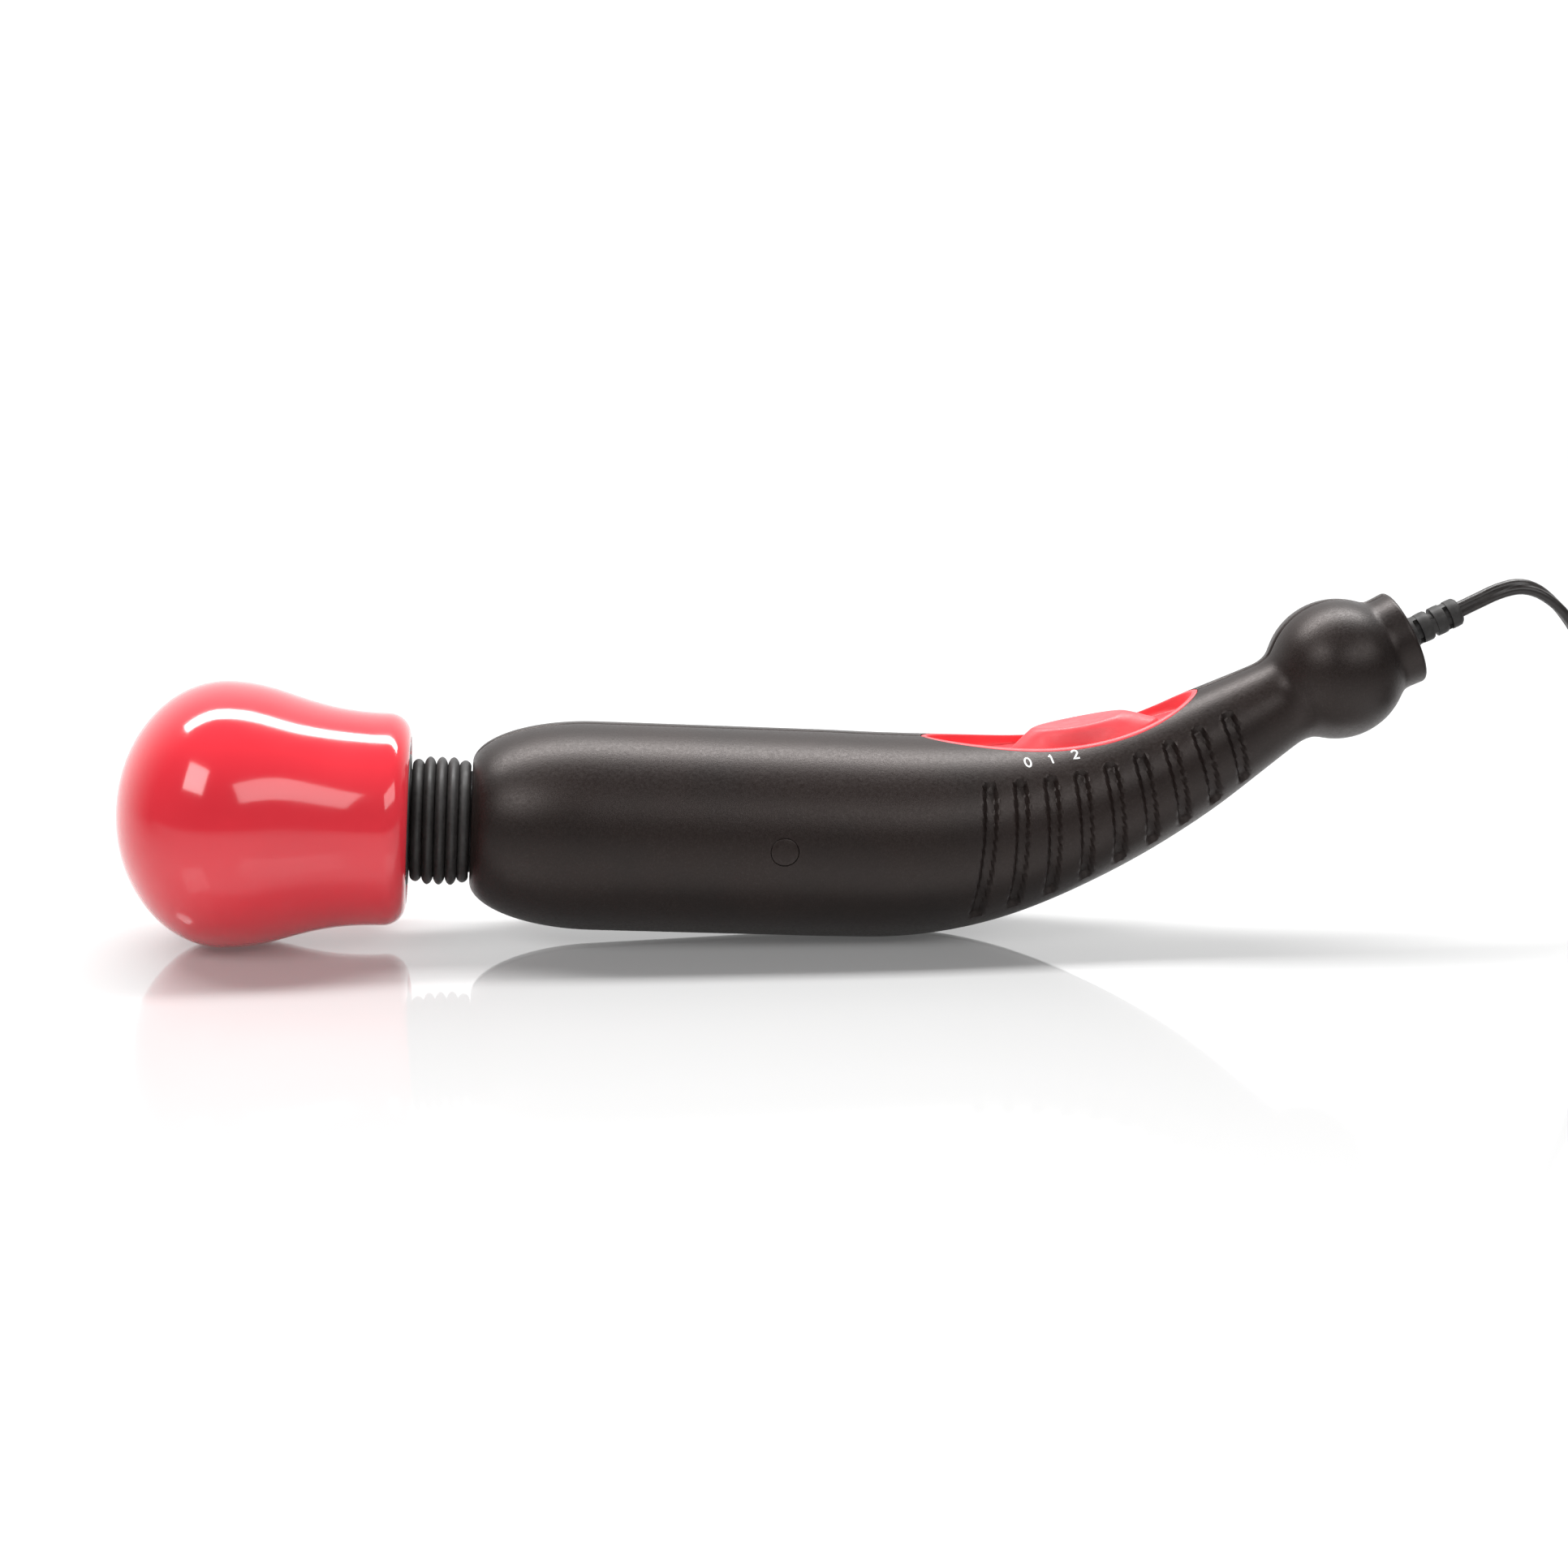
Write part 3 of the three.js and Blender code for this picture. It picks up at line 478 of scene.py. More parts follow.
def handle_stations():
    """Rows of s and radius, from the mouth to the collar's end face."""
    rows = []
    nose = NOSE_END_X - MOUTH_X
    for turn in np.radians(np.linspace(0, 90, 34))[:-1]:
        rows.append((NOSE_END_X - nose * math.cos(turn), MOUTH_R + (BARREL_R - MOUTH_R) * math.sin(turn)))
    end = BALL_S + COLLAR_END
    for s in np.concatenate([np.arange(NOSE_END_X, 30, 1.5), np.arange(30, 112, 0.5),
                             np.arange(112, end - COLLAR_EDGE, 0.4)]):
        rows.append((s, radius(s)))
    rim = radius(end - COLLAR_EDGE)
    for turn in np.radians(np.linspace(0, 90, 7)):
        rows.append((end - COLLAR_EDGE * (1 - math.sin(turn)), rim - COLLAR_EDGE * (1 - math.cos(turn))))
    return np.array(rows)


GROOVE_COUNT = 9
GROOVE_FIRST, GROOVE_PITCH = 42.8, 7.6
GROOVE_LEAN = 0.2  # how far the tops of the grooves lean to the tail, in radii
GROOVE_WIDTH, GROOVE_DEPTH, GROOVE_EDGE = 3.7, 1.25, 1.1
GROOVE_TOP = (53, 60)  # degrees from the seam on top, for the first and the last groove
GROOVE_BOTTOM = (136, 132)


def skin_depth(s, r, turn):
    """How far the skin lies below its smooth form: grip grooves, and a fine vee at the seam."""
    depth = np.zeros(np.broadcast(s, turn).shape)
    for i in range(GROOVE_COUNT):
        part = i / (GROOVE_COUNT - 1)
        top = math.radians(GROOVE_TOP[0] + (GROOVE_TOP[1] - GROOVE_TOP[0]) * part)
        bottom = math.radians(GROOVE_BOTTOM[0] + (GROOVE_BOTTOM[1] - GROOVE_BOTTOM[0]) * part)
        centre = GROOVE_FIRST + GROOVE_PITCH * i + GROOVE_LEAN * r * np.cos(turn)
        along = (s - centre) * (1 - r * np.cos(turn) / BEND_R)
        over = r * np.maximum(0, np.maximum(top - turn, turn - bottom))
        away = np.hypot(along, over)
        depth = np.maximum(depth, GROOVE_DEPTH * (1 - smoothstep((away - GROOVE_WIDTH / 2 + GROOVE_EDGE)
                                                                 / GROOVE_EDGE)))
    side = np.abs(r * np.sin(turn))
    return depth + SEAM_DEPTH * np.clip(1 - (side - SEAM) / SEAM_WIDTH, 0, 1)


def skin_point(s, r, turn, side=1):
    """A point on the section at s; turn is from the top towards -y, or +y for side -1."""
    x, z, slope = spine(s)
    up = r * np.cos(turn)
    return np.stack(np.broadcast_arrays(x - np.sin(slope) * up, -side * r * np.sin(turn),
                                        z + np.cos(slope) * up), -1)


EDGE_STEPS = [0, 0.0022, 0.0045, 0.007, 0.011, 0.017, 0.026]


def half_turns(r):
    """Angles from the seam on top to the seam below, close together at the seams."""
    middle = np.linspace(0.04, 0.96, 78)
    share = np.concatenate([EDGE_STEPS, middle, 1 - np.array(EDGE_STEPS[::-1])])
    first = np.arcsin(SEAM / r)
    return first + (math.pi - 2 * first) * share


TRACK_X, TRACK_Z, TRACK_R = 39, 136, 113.2
FLOOR_R = TRACK_R + 3.3
BEZEL_BOTTOM_R = FLOOR_R + 2
BEZEL_FRONT_X, BEZEL_REAR_X, BEZEL_HALF_WIDTH = 29.5, 91.4, 8.9
RIM = 1.25


def track_z(x, r):
    return TRACK_Z - np.sqrt(r * r - (x - TRACK_X) ** 2)


def boat(grow=0.0, steps=48):
    """Outline (x, y) of the switch opening from its front point round by +y, and its inward ways."""
    front, rear, wide = BEZEL_FRONT_X, BEZEL_REAR_X, BEZEL_HALF_WIDTH
    middle = front + 0.56 * (rear - front)
    fore = bezier((front, 0), (front + 1, wide * 0.62), (middle - 17, wide), (middle, wide), steps)
    aft = bezier((middle, wide), (middle + 15, wide), (rear - 1, wide * 0.72), (rear, 0), steps)
    near = np.vstack([fore, aft[1:]])
    outline = np.vstack([near, near[-2:0:-1] * (1, -1)])
    ways = np.roll(outline, -1, 0) - np.roll(outline, 1, 0)
    ways /= np.linalg.norm(ways, axis=1)[:, None]
    inward = np.stack([ways[:, 1], -ways[:, 0]], 1)
    return outline - grow * inward, inward


def skin_z(x, y):
    """Height of the handle's smooth top skin over a plan point."""
    s = np.array(x, float)
    for _ in range(40):
        r = radius(s)
        cx, cz, slope = spine(s)
        up = np.sqrt(r * r - y * y)
        s = s + (x - (cx - np.sin(slope) * up))
    return cz + np.cos(slope) * up


def boat_ring(outline, z):
    return np.column_stack([outline, z])


def opening_cutter():
    outline, _ = boat(0.1)
    floor = boat_ring(outline, track_z(outline[:, 0], BEZEL_BOTTOM_R + 0.1))
    return strip_loft("cutter", [floor, boat_ring(outline, np.full(len(outline), 60.0))])


SCREWS = {
    "shell_screw_front": (-46, 0, 1, 22.6),
    "shell_screw_near": (-2.1, 1, -1, 22.9),
    "shell_screw_grip": (46, -9, 1, 16.6),
    "shell_screw_ball": (121, 40.4, 1, 15.6),
}
SCREW_HEAD_DEPTH, SCREW_LENGTH = 5.2, 13
BOSS_R, COUNTERBORE_R = 4.2, 3.1


def cross_bar(x, z, y0, y1, r, sides=40):
    rings = [[(x + r * math.cos(t), y, z + r * math.sin(t))
              for t in np.linspace(0, 2 * math.pi, sides, endpoint=False)] for y in (y0, y1)]
    return loft("cutter", rings)


def axis_bar(x0, x1, r, y=0.0, z=0.0, sides=64, way=None):
    """A bar along x, or along the collar's axis from the ball's centre when way is given."""
    turns = np.linspace(0, 2 * math.pi, sides, endpoint=False)
    if way is None:
        rings = [[(x, y + r * math.sin(t), z + r * math.cos(t)) for t in turns] for x in (x0, x1)]
    else:
        rings = [collar_point(x, r, turns) for x in (x0, x1)]
    return loft("cutter", rings)


def collar_point(d, r, turn):
    """Points round the collar's axis, at a distance d beyond the ball's centre."""
    c, s = math.cos(COLLAR_ANGLE), math.sin(COLLAR_ANGLE)
    up = r * np.cos(turn)
    return np.stack([BALL_AT[0] + d * c - s * up, -r * np.sin(turn), BALL_AT[1] + d * s + c * up], -1)


def handle_room():
    """The room inside the handle, with its screw bosses and the rib behind the neck left standing."""
    rows = [(s, r) for s, r in handle_stations()[::3] if s > MOUTH_X + WALL + 1 and s < BALL_S + 13]
    turns = np.linspace(0, 2 * math.pi, 48, endpoint=False)
    room = loft("room", [skin_point(s, r - WALL, turns) for s, r in rows])
    for x, z, _, _ in SCREWS.values():
        cut(room, cross_bar(x, z, -30, 30, BOSS_R))
    rib = lathe("rib", [(-61.2, 7), (-61.2, 24), (-59.6, 24), (-59.6, 7)])
    return cut(room, rib)


def screw_cutter(x, z, side, wall):
    """The counterbore and the shank's hole of a shell screw."""
    place = WAND @ Matrix.Translation((x, 0, z)) @ Matrix.Rotation(side * math.pi / 2, 4, "Z")
    seat = wall - SCREW_HEAD_DEPTH
    tip = seat - SCREW_LENGTH - 1
    profile = [(tip, 0.002), (tip, 1.6), (seat, 1.6), (seat, COUNTERBORE_R), (30, COUNTERBORE_R), (30, 0.002)]
    return lathe("cutter", profile, 40, place)


def add_handle_half(name, side):
    rows = handle_stations()
    rings = []
    for s, r in rows:
        turns = half_turns(r)
        fade = float(smoothstep((s - MOUTH_X) / 2)) * float(smoothstep((BALL_S + COLLAR_END - s) / 0.8))
        rings.append(skin_point(s, r - skin_depth(s, r, turns) * fade, turns, side))
    half = loft(name, rings)
    half = shade(half)
    cut(half, handle_room())
    cut(half, opening_cutter())
    cut(half, axis_bar(MOUTH_X - 5, MOUTH_X + 8, NECK_BORE_R, sides=96))
    cut(half, axis_bar(-5, 25, CORD_BORE_R, way="collar", sides=48))
    for x, z, screw_side, wall in SCREWS.values():
        if screw_side == -side:
            cut(half, screw_cutter(x, z, screw_side, wall), "EXACT")
    return finish_piece(half, "black_shell", "handle", [name], 30)


def screw(name, radius_head, radius_shank, length, place, body, head_high=1.8):
    """A pan-head screw with a cross recess; its head's underside is at x = 0 and its shank points to +x."""
    r, h, t = radius_head, head_high, radius_shank
    profile = [(-h, 0), (-h, r * 0.45), (-h * 0.93, r * 0.72), (-h * 0.7, r * 0.92), (-h * 0.35, r), (0, r),
               (0, t)]
    turns = int(length / 1.1)
    for i in range(turns):
        x = 0.4 + i * 1.1
        profile += [(x, t * 0.78), (x + 0.45, t), (x + 0.6, t), (x + 1.05, t * 0.78)]
    profile += [(length, t * 0.6), (length + t, 0)]
    thing = lathe(name, profile, 40, place)
    for width, tall in ((r * 1.1, r * 0.26), (r * 0.26, r * 1.1)):
        rings = [[(x, width * a * k, tall * b * k) for a, b in ((-1, -1), (1, -1), (1, 1), (-1, 1))]
                 for x, k in ((-h - 1, 0.55), (-h * 0.35, 0.42))]
        cut(thing, loft("cutter", rings, place))
    return finish_piece(thing, "screw_steel", body, [name], 35)


def add_screws():
    for name, (x, z, side, wall) in SCREWS.items():
        seat = side * (wall - SCREW_HEAD_DEPTH)
        place = WAND @ Matrix.Translation((x, seat, z)) @ Matrix.Rotation(-side * math.pi / 2, 4, "Z")
        screw(name, 2.6, 1.25, SCREW_LENGTH - 1, place, "handle")
    for i, angle in enumerate(HEAD_SCREW_ANGLES):
        turn = math.radians(angle)
        at = (PLATE_REAR_X + 0.05, HEAD_SCREW_R * math.cos(turn), HEAD_SCREW_R * math.sin(turn))
        place = WAND @ Matrix.Translation(at) @ Matrix.Rotation(math.pi, 4, "Z")
        screw(f"head_screw_{i + 1}", 1.3, 0.95, 9, place, "head", 0.8)


def add_plug():
    """The flush disc over the near screw follows the handle's skin, a hair below it."""
    x, z = SCREWS["shell_screw_near"][:2]
    turns = np.linspace(0, 2 * math.pi, 72, endpoint=False)
    rings = []
    for r, sunk in ((3.04, None), (3.04, 0.2), (2.96, 0.06), (2.8, 0), (1.6, 0), (0.8, 0), (0.05, 0)):
        px, pz = x + r * np.cos(turns), z + r * np.sin(turns)
        surface = -np.sqrt(BARREL_R ** 2 - pz ** 2)
        y = np.full_like(px, -19.8) if sunk is None else surface + sunk + 0.04
        rings.append(np.stack([px, y, pz], 1))
    finish_piece(loft("screw_plug", rings), "black_shell", "handle", ["screw_plug"], 40)


# ---- switch ---------------------------------------------------------------------------------
BUTTON_X = 67
TRAVEL = 10
BUTTON_ALONG = FLOOR_R * math.asin((BUTTON_X - TRACK_X) / FLOOR_R)
# Height and offset of each level of the button, with its half length and half width.
BUTTON_LEVELS = [
    (0.12, 0, 16.7, 6.75), (0.35, 0, 17.0, 6.9), (0.8, -0.05, 16.9, 6.85), (1.2, -0.1, 16.5, 6.7),
    (2.2, -0.35, 15.1, 6.3), (3.4, -0.6, 13.5, 5.85), (4.3, -0.85, 12.1, 5.4), (4.75, -1, 11.3, 5.0),
    (4.95, -1, 10.7, 4.6), (5.0, -1, 10.0, 4.2), (4.97, -1, 6.5, 2.8), (4.94, -1, 3, 1.3),
    (4.93, -1, 0.3, 0.1)]


def on_track(along, across, height):
    turn = along / FLOOR_R
    r = FLOOR_R - height
    return np.stack(np.broadcast_arrays(TRACK_X + r * np.sin(turn), across, TRACK_Z - r * np.cos(turn)), -1)


def add_bezel():
    outline, inward = boat()
    outline = outline + 0.02 * inward
    bottom = boat_ring(outline, track_z(outline[:, 0], BEZEL_BOTTOM_R))

    def rim_ring(offset, rise):
        spots = outline + offset * inward
        return boat_ring(spots, skin_z(spots[:, 0], spots[:, 1]) + rise)

    def floor_ring(offset, rise):
        spots = outline + offset * inward
        return boat_ring(spots, track_z(spots[:, 0], FLOOR_R - rise))

    top = [rim_ring(0, -0.42), rim_ring(0.03, -0.26), rim_ring(0.12, -0.13), rim_ring(0.26, -0.06),
           rim_ring(0.45, -0.03), rim_ring(RIM - 0.45, -0.03), rim_ring(RIM - 0.22, -0.09),
           rim_ring(RIM - 0.07, -0.22), rim_ring(RIM, -0.42)]
    rim_low, well_high = top[-1], floor_ring(RIM + 0.18, 0.55)
    # Where the skin comes down towards the floor near the points, the wall stays in order.
    wall = [rim_low + (well_high - rim_low) * t for t in (0.33, 0.66)]
    floor = [well_high, floor_ring(RIM + 0.32, 0.22), floor_ring(RIM + 0.6, 0.04), floor_ring(RIM + 0.95, 0)]
    bezel = strip_loft("switch_bezel", [bottom, *top, *wall, *floor])
    slot = []
    for along in np.linspace(BUTTON_ALONG - TRAVEL - 3.6, BUTTON_ALONG + 3.6, 9):
        slot.append([on_track(along, y, h) for y, h in ((1.8, -6), (-1.8, -6), (-1.8, 1), (1.8, 1))])
    cut(shade(bezel), loft("cutter", slot))
    return finish_piece(bezel, "red_satin", "handle", ["switch_bezel"], 40)


def add_button():
    turns = np.linspace(0, 2 * math.pi, 112, endpoint=False)
    u, v = np.cos(turns), np.sin(turns)
    rings = []
    for height, shift, length, width in BUTTON_LEVELS:
        across = width * np.sign(v) * np.abs(v) ** 1.25
        rings.append(on_track(BUTTON_ALONG + shift + length * u, across, height))
    finish_piece(strip_loft("speed_button", rings), "red_satin", "slider", ["speed_button"], 28)


PRINT_HIGH, PRINT_LINE, PRINT_THICK = 2.5, 0.42, 0.03
PRINT_TURN = math.radians(36.5)
PRINT_S = (56.4, 62.4, 68.4)


def digit_strokes(number):
    """Strokes of a digit as lists of (right, up) in its own height."""
    if number == 0:
        a = np.radians(np.linspace(0, 360, 41)[:-1])
        return [(np.stack([0.29 * np.cos(a), 0.5 * np.sin(a)], 1), True)]
    if number == 1:
        return [(np.array([(-0.2, 0.27), (0.02, 0.5), (0.02, 0.3), (0.02, -0.5)]), False)]
    a = np.radians(np.linspace(165, -38, 20))
    bow = np.stack([0.27 * np.cos(a), 0.23 + 0.27 * np.sin(a)], 1)
    return [(np.vstack([bow, [(-0.02, -0.2), (-0.29, -0.46), (0, -0.46), (0.3, -0.46)]]), False)]


def add_print():
    """The speeds' numbers, printed beside the switch on the near half."""
    parts = []
    for number, s0 in enumerate(PRINT_S):
        for line, closed in digit_strokes(number):
            line = line * PRINT_HIGH
            ways = (np.roll(line, -1, 0) - np.roll(line, 1, 0)) if closed else np.gradient(line, axis=0)
            ways /= np.linalg.norm(ways, axis=1)[:, None]
            normal = np.stack([-ways[:, 1], ways[:, 0]], 1) * PRINT_LINE / 2
            rings = []
            for at, n in zip(line, normal):
                ring = []
                for sign, rise in ((1, 0.002), (-1, 0.002), (-1, PRINT_THICK), (1, PRINT_THICK)):
                    u, v = at + sign * n
                    s = s0 + u
                    r = radius(s)
                    ring.append(skin_point(s, r + rise, PRINT_TURN - v / r))
                rings.append(ring)
            parts.append(loft(f"print_{number}", rings, closed=closed))
    for part in parts:
        finish_piece(part, "white_print", "handle", angle=60)


# ---- head -----------------------------------------------------------------------------------
TIP_X, BULB_X, BULB_R = -144.8, -121.5, 28.9
SKIRT_X, SKIRT_R, CORNER_R = -87.4, 23.2, 5
CAP_WALL = 2.4
PLATE_R, PLATE_FRONT_X, PLATE_REAR_X, HUB_REAR_X = 17.9, -85.4, -83.2, -82.2
HEAD_SCREW_ANGLES, HEAD_SCREW_R = (90, 210, 330), 16.3


def cap_outline(inset, steps):
    tip, bulb, skirt = TIP_X + inset, BULB_R - inset, SKIRT_R - inset
    corner = max(0.8, CORNER_R - inset)
    k = 0.5523
    fore = bezier((tip, 0), (tip, k * bulb), (BULB_X - k * (BULB_X - tip), bulb), (BULB_X, bulb), steps)
    aft = bezier((BULB_X, bulb), (BULB_X + 12.5, bulb), (SKIRT_X - 18, skirt), (SKIRT_X, skirt), steps)
    edge = arc((SKIRT_X, skirt - corner), corner, 90, 0, 12)
    return [tuple(p) for p in np.vstack([fore, aft[1:], edge[1:]])], SKIRT_X + corner


def add_cap():
    outside, rear = cap_outline(0, 44)
    inside, inner_rear = cap_outline(CAP_WALL, 20)
    cap = lathe("head_cap", [(x, max(r, 0.002)) for x, r in outside] + [(rear, 0.002)], 192)
    room = lathe("room", [(x, max(r, 0.002)) for x, r in inside] + [(inner_rear, 0.002)], 64)
    spots = [(math.cos(math.radians(a)), math.sin(math.radians(a))) for a in HEAD_SCREW_ANGLES]
    for y, z in spots:
        reach = HEAD_SCREW_R + 2
        cut(room, axis_bar(-98, PLATE_FRONT_X - 0.3, 3.4, reach * y, reach * z, 32))
    cut(shade(cap), room)
    opening = [(PLATE_FRONT_X - 0.3, 0.002), (PLATE_FRONT_X - 0.3, PLATE_R + 0.2),
               (rear - 0.5, PLATE_R + 0.2), (rear + 0.1, PLATE_R + 0.8), (-70, PLATE_R + 0.8), (-70, 0.002)]
    cut(cap, lathe("cutter", opening, 128))
    for y, z in spots:
        cut(cap, axis_bar(-96, -80, 1.3, HEAD_SCREW_R * y, HEAD_SCREW_R * z, 20))
    finish_piece(cap, "red_gloss", "head", ["head_cap"], 30)


def add_rear_plate():
    profile = [(PLATE_FRONT_X, NECK_BORE_R), (PLATE_FRONT_X, PLATE_R - 0.3), (PLATE_FRONT_X + 0.3, PLATE_R)]
    profile += arc((PLATE_REAR_X - 0.5, PLATE_R - 0.5), 0.5, 90, 0, 5)
    profile += [(PLATE_REAR_X, 15.2), (PLATE_REAR_X + 0.1, 14.8), (HUB_REAR_X - 0.35, 14.35)]
    profile += arc((HUB_REAR_X - 0.3, 14.0), 0.3, 80, 0, 4) + [(HUB_REAR_X, NECK_BORE_R)]
    plate = lathe("head_rear_plate", profile, 128)
    for angle in HEAD_SCREW_ANGLES:
        y, z = (HEAD_SCREW_R * f(math.radians(angle)) for f in (math.cos, math.sin))
        cut(plate, axis_bar(-90, -80, 1.3, y, z, 24))
    finish_piece(plate, "black_plastic", "head", ["head_rear_plate"], 35)


# ---- neck -----------------------------------------------------------------------------------
BELLOWS_FRONT, BELLOWS_REAR = HUB_REAR_X + 0.3, MOUTH_X - 0.3
RING_COUNT, RING_PITCH = 5, 2.54
RING_CREST_R, RING_GROOVE_R, BELLOWS_BORE_R = 14, 12.3, 9.2
NECK_SPLIT_X = BELLOWS_FRONT + 2 * RING_PITCH
SPRING_R, SPRING_WIRE_R, SPRING_TURNS = 7.2, 0.8, 6
SPRING_ENDS = (-88, -65.2)


def bellows_outline():
    """(x, radius) from the flange in the head to the flange in the handle."""
    line = [(-88, 12.0), (-87.7, 12.3), (-86.3, 12.3), (-86, 12.0), (-86, 11.1), (BELLOWS_FRONT, 11.1)]
    line.append((BELLOWS_FRONT, RING_GROOVE_R))
    for i in range(RING_COUNT):
        x = BELLOWS_FRONT + RING_PITCH * i
        crest = RING_CREST_R - (0.6 if i in (0, RING_COUNT - 1) else 0)
        for t in np.linspace(0, 1, 21)[1:]:
            high = abs(math.sin(math.pi * t)) ** 0.62
            line.append((x + RING_PITCH * t, RING_GROOVE_R + (crest - RING_GROOVE_R) * high))
    line += [(BELLOWS_REAR, 11.1), (-66, 11.1), (-66, 12.0), (-65.7, 12.3), (-65.1, 12.3), (-64.8, 12.0)]
    return line


def bend_halves(front, rear):
    """Bakes the placing of a neck piece's two halves into their meshes."""
    def at(x):
        return WAND @ Vector((x, 0, 0))
    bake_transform(rear)
    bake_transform(front)


def add_bellows():
    line = bellows_outline()
    halves = []
    for name, part in (("bellows_front", [p for p in line if p[0] <= NECK_SPLIT_X + 1e-6]),
                       ("bellows_rear", [p for p in line if p[0] >= NECK_SPLIT_X - 1e-6])):
        x0, x1 = part[0][0], part[-1][0]
        bore = [(x, BELLOWS_BORE_R) for x in np.linspace(x1, x0, 12)]
        thing = lathe(name, part + bore, 144)
        halves.append(finish_piece(thing, "black_rubber", nodes=["neck_bellows"], angle=50))
    bend_halves(*halves)


def round_section(r, sides=12):
    return [(r * math.cos(t), r * math.sin(t)) for t in np.linspace(0, 2 * math.pi, sides, endpoint=False)]


def add_neck_line(name, path, r, look, node):
    """A spring or wire through the neck, cut where the bellows are."""
    path = np.array(path)
    middle = int(np.searchsorted(path[:, 0], NECK_SPLIT_X))
    halves = []
    for part, points in (("front", path[:middle + 1]), ("rear", path[middle:])):
        thing = sweep(f"{name}_{part}", points, round_section(r), wide=(0, 1, 0.2))
        halves.append(finish_piece(thing, look, nodes=[node], angle=60))
    bend_halves(*halves)


def add_neck_insides():
    t = np.linspace(0, 1, SPRING_TURNS * 28 + 1)
    turn = 2 * math.pi * SPRING_TURNS * t
    x = SPRING_ENDS[0] + (SPRING_ENDS[1] - SPRING_ENDS[0]) * t
    helix = np.stack([x, SPRING_R * np.cos(turn), SPRING_R * np.sin(turn)], 1)
    add_neck_line("neck_spring", helix, SPRING_WIRE_R, "steel", "neck_spring")
    lead = catmull([(-91.2, 0, 0), (-84, 0, 0.6), (-76, 0, -0.6), (-68, 0, 0.5), (-58, 0, 0)], 12)
    add_neck_line("motor_lead", lead, 1.1, "red_wire", "motor_lead")


# ---- strain reliefs -------------------------------------------------------------------------
ADAPTER_X, ADAPTER_Y, ADAPTER_INLET_Z = 246, -34, 9
ADAPTER_SIZE = (46, 34, 28)
STEP = 0.04  # how far a slot's walls lean, so that no two rings coincide


def slotted_relief(name, base, slots, tip, place_point, place=WAND, bridge=0.6):
    """A flexible sleeve: base is its (d, r) profile before the first slot, slots are (start, end, r of
    the core, r of the ring after it at both ends, end of that ring), and bridges turn a quarter from
    slot to slot."""
    turns = np.linspace(0, 2 * math.pi, 72, endpoint=False)
    rings = [place_point(d, r, turns) for d, r in base]
    last = base[-1][1]
    for i, (start, end, core, first, after, ring_end) in enumerate(slots):
        quarter = math.pi / 2 * (i % 2)
        bridged = np.abs(np.cos(turns - quarter)) > math.cos(bridge)
        open_r = np.where(bridged, (last + first) / 2 - 0.1, core)
        rings += [place_point(start, last, turns), place_point(start + STEP, open_r, turns),
                  place_point(end, open_r, turns), place_point(end + STEP, first, turns),
                  place_point((end + ring_end) / 2, (first + after) / 2 + 0.05, turns),
                  place_point(ring_end - 0.25, after, turns)]
        last = after - 0.2
        rings.append(place_point(ring_end, last, turns))
    rings += [place_point(d, r, turns) for d, r in tip]
    return finish_piece(loft(name, rings, place), "black_rubber", "handle", [name], 40)


def wand_relief_point(d, r, turns):
    return collar_point(COLLAR_END + d, r * np.ones_like(turns), turns)


def adapter_relief_point(d, r, turns):
    """Points on the adapter's sleeve in the row's frame; d runs out from the face it stands on."""
    r = r * np.ones_like(turns)
    return np.stack([ADAPTER_X - d * np.ones_like(turns), ADAPTER_Y + r * np.sin(turns),
                     ADAPTER_INLET_Z + r * np.cos(turns)], -1)


def add_reliefs():
    base = [(-7.2, 2.0), (-7.2, 5.2), (-4.9, 5.2), (-4.9, 3.5), (0, 3.5), (2.0, 3.5), (2.3, 3.4)]
    slots = [(2.4, 3.5, 2.45, 3.35, 3.4, 6.0), (6.1, 7.1, 2.4, 3.3, 3.3, 9.6),
             (9.7, 10.7, 2.35, 3.25, 3.2, 13.1)]
    wand = slotted_relief("strain_relief", base, slots, [(13.4, 2.7), (13.4, 2.2)], wand_relief_point)
    base = [(-3, 1.9), (-3, 3), (0.1, 3), (0.1, 4.2), (1.5, 4.2), (2, 3.9), (2, 3.2), (2.6, 3.1)]
    slots = [(2.7, 3.6, 2.3, 3.05, 3.0, 6.0), (6.1, 7.0, 2.2, 2.95, 2.9, 9.4),
             (9.5, 10.4, 2.15, 2.85, 2.75, 13.6)]
    end = slotted_relief("adapter_strain_relief", base, slots, [(13.9, 2.2), (13.9, 2.0)],
                         adapter_relief_point, ROW)
    return [wand, end]


# ---- adapter and tie ------------------------------------------------------------------------
def rounded_rectangle(length, width, corner, steps=8):
    points = []
    for i, (sx, sy) in enumerate(((1, 1), (-1, 1), (-1, -1), (1, -1))):
        for a in np.radians(np.linspace(90 * i, 90 * i + 90, steps)):
            points.append((sx * (length / 2 - corner) + corner * math.cos(a),
                           sy * (width / 2 - corner) + corner * math.sin(a)))
    return points


def dense(points, step=0.6):
    """The same closed outline with points close together along its straight sides."""
    out = []
    for a, b in zip(points, points[1:] + points[:1]):
        parts = max(1, round(math.dist(a, b) / step))
        out += [(a[0] + (b[0] - a[0]) * t / parts, a[1] + (b[1] - a[1]) * t / parts) for t in range(parts)]
    return out


RIB_DEPTH, RIB_PITCH = 0.3, 2.6


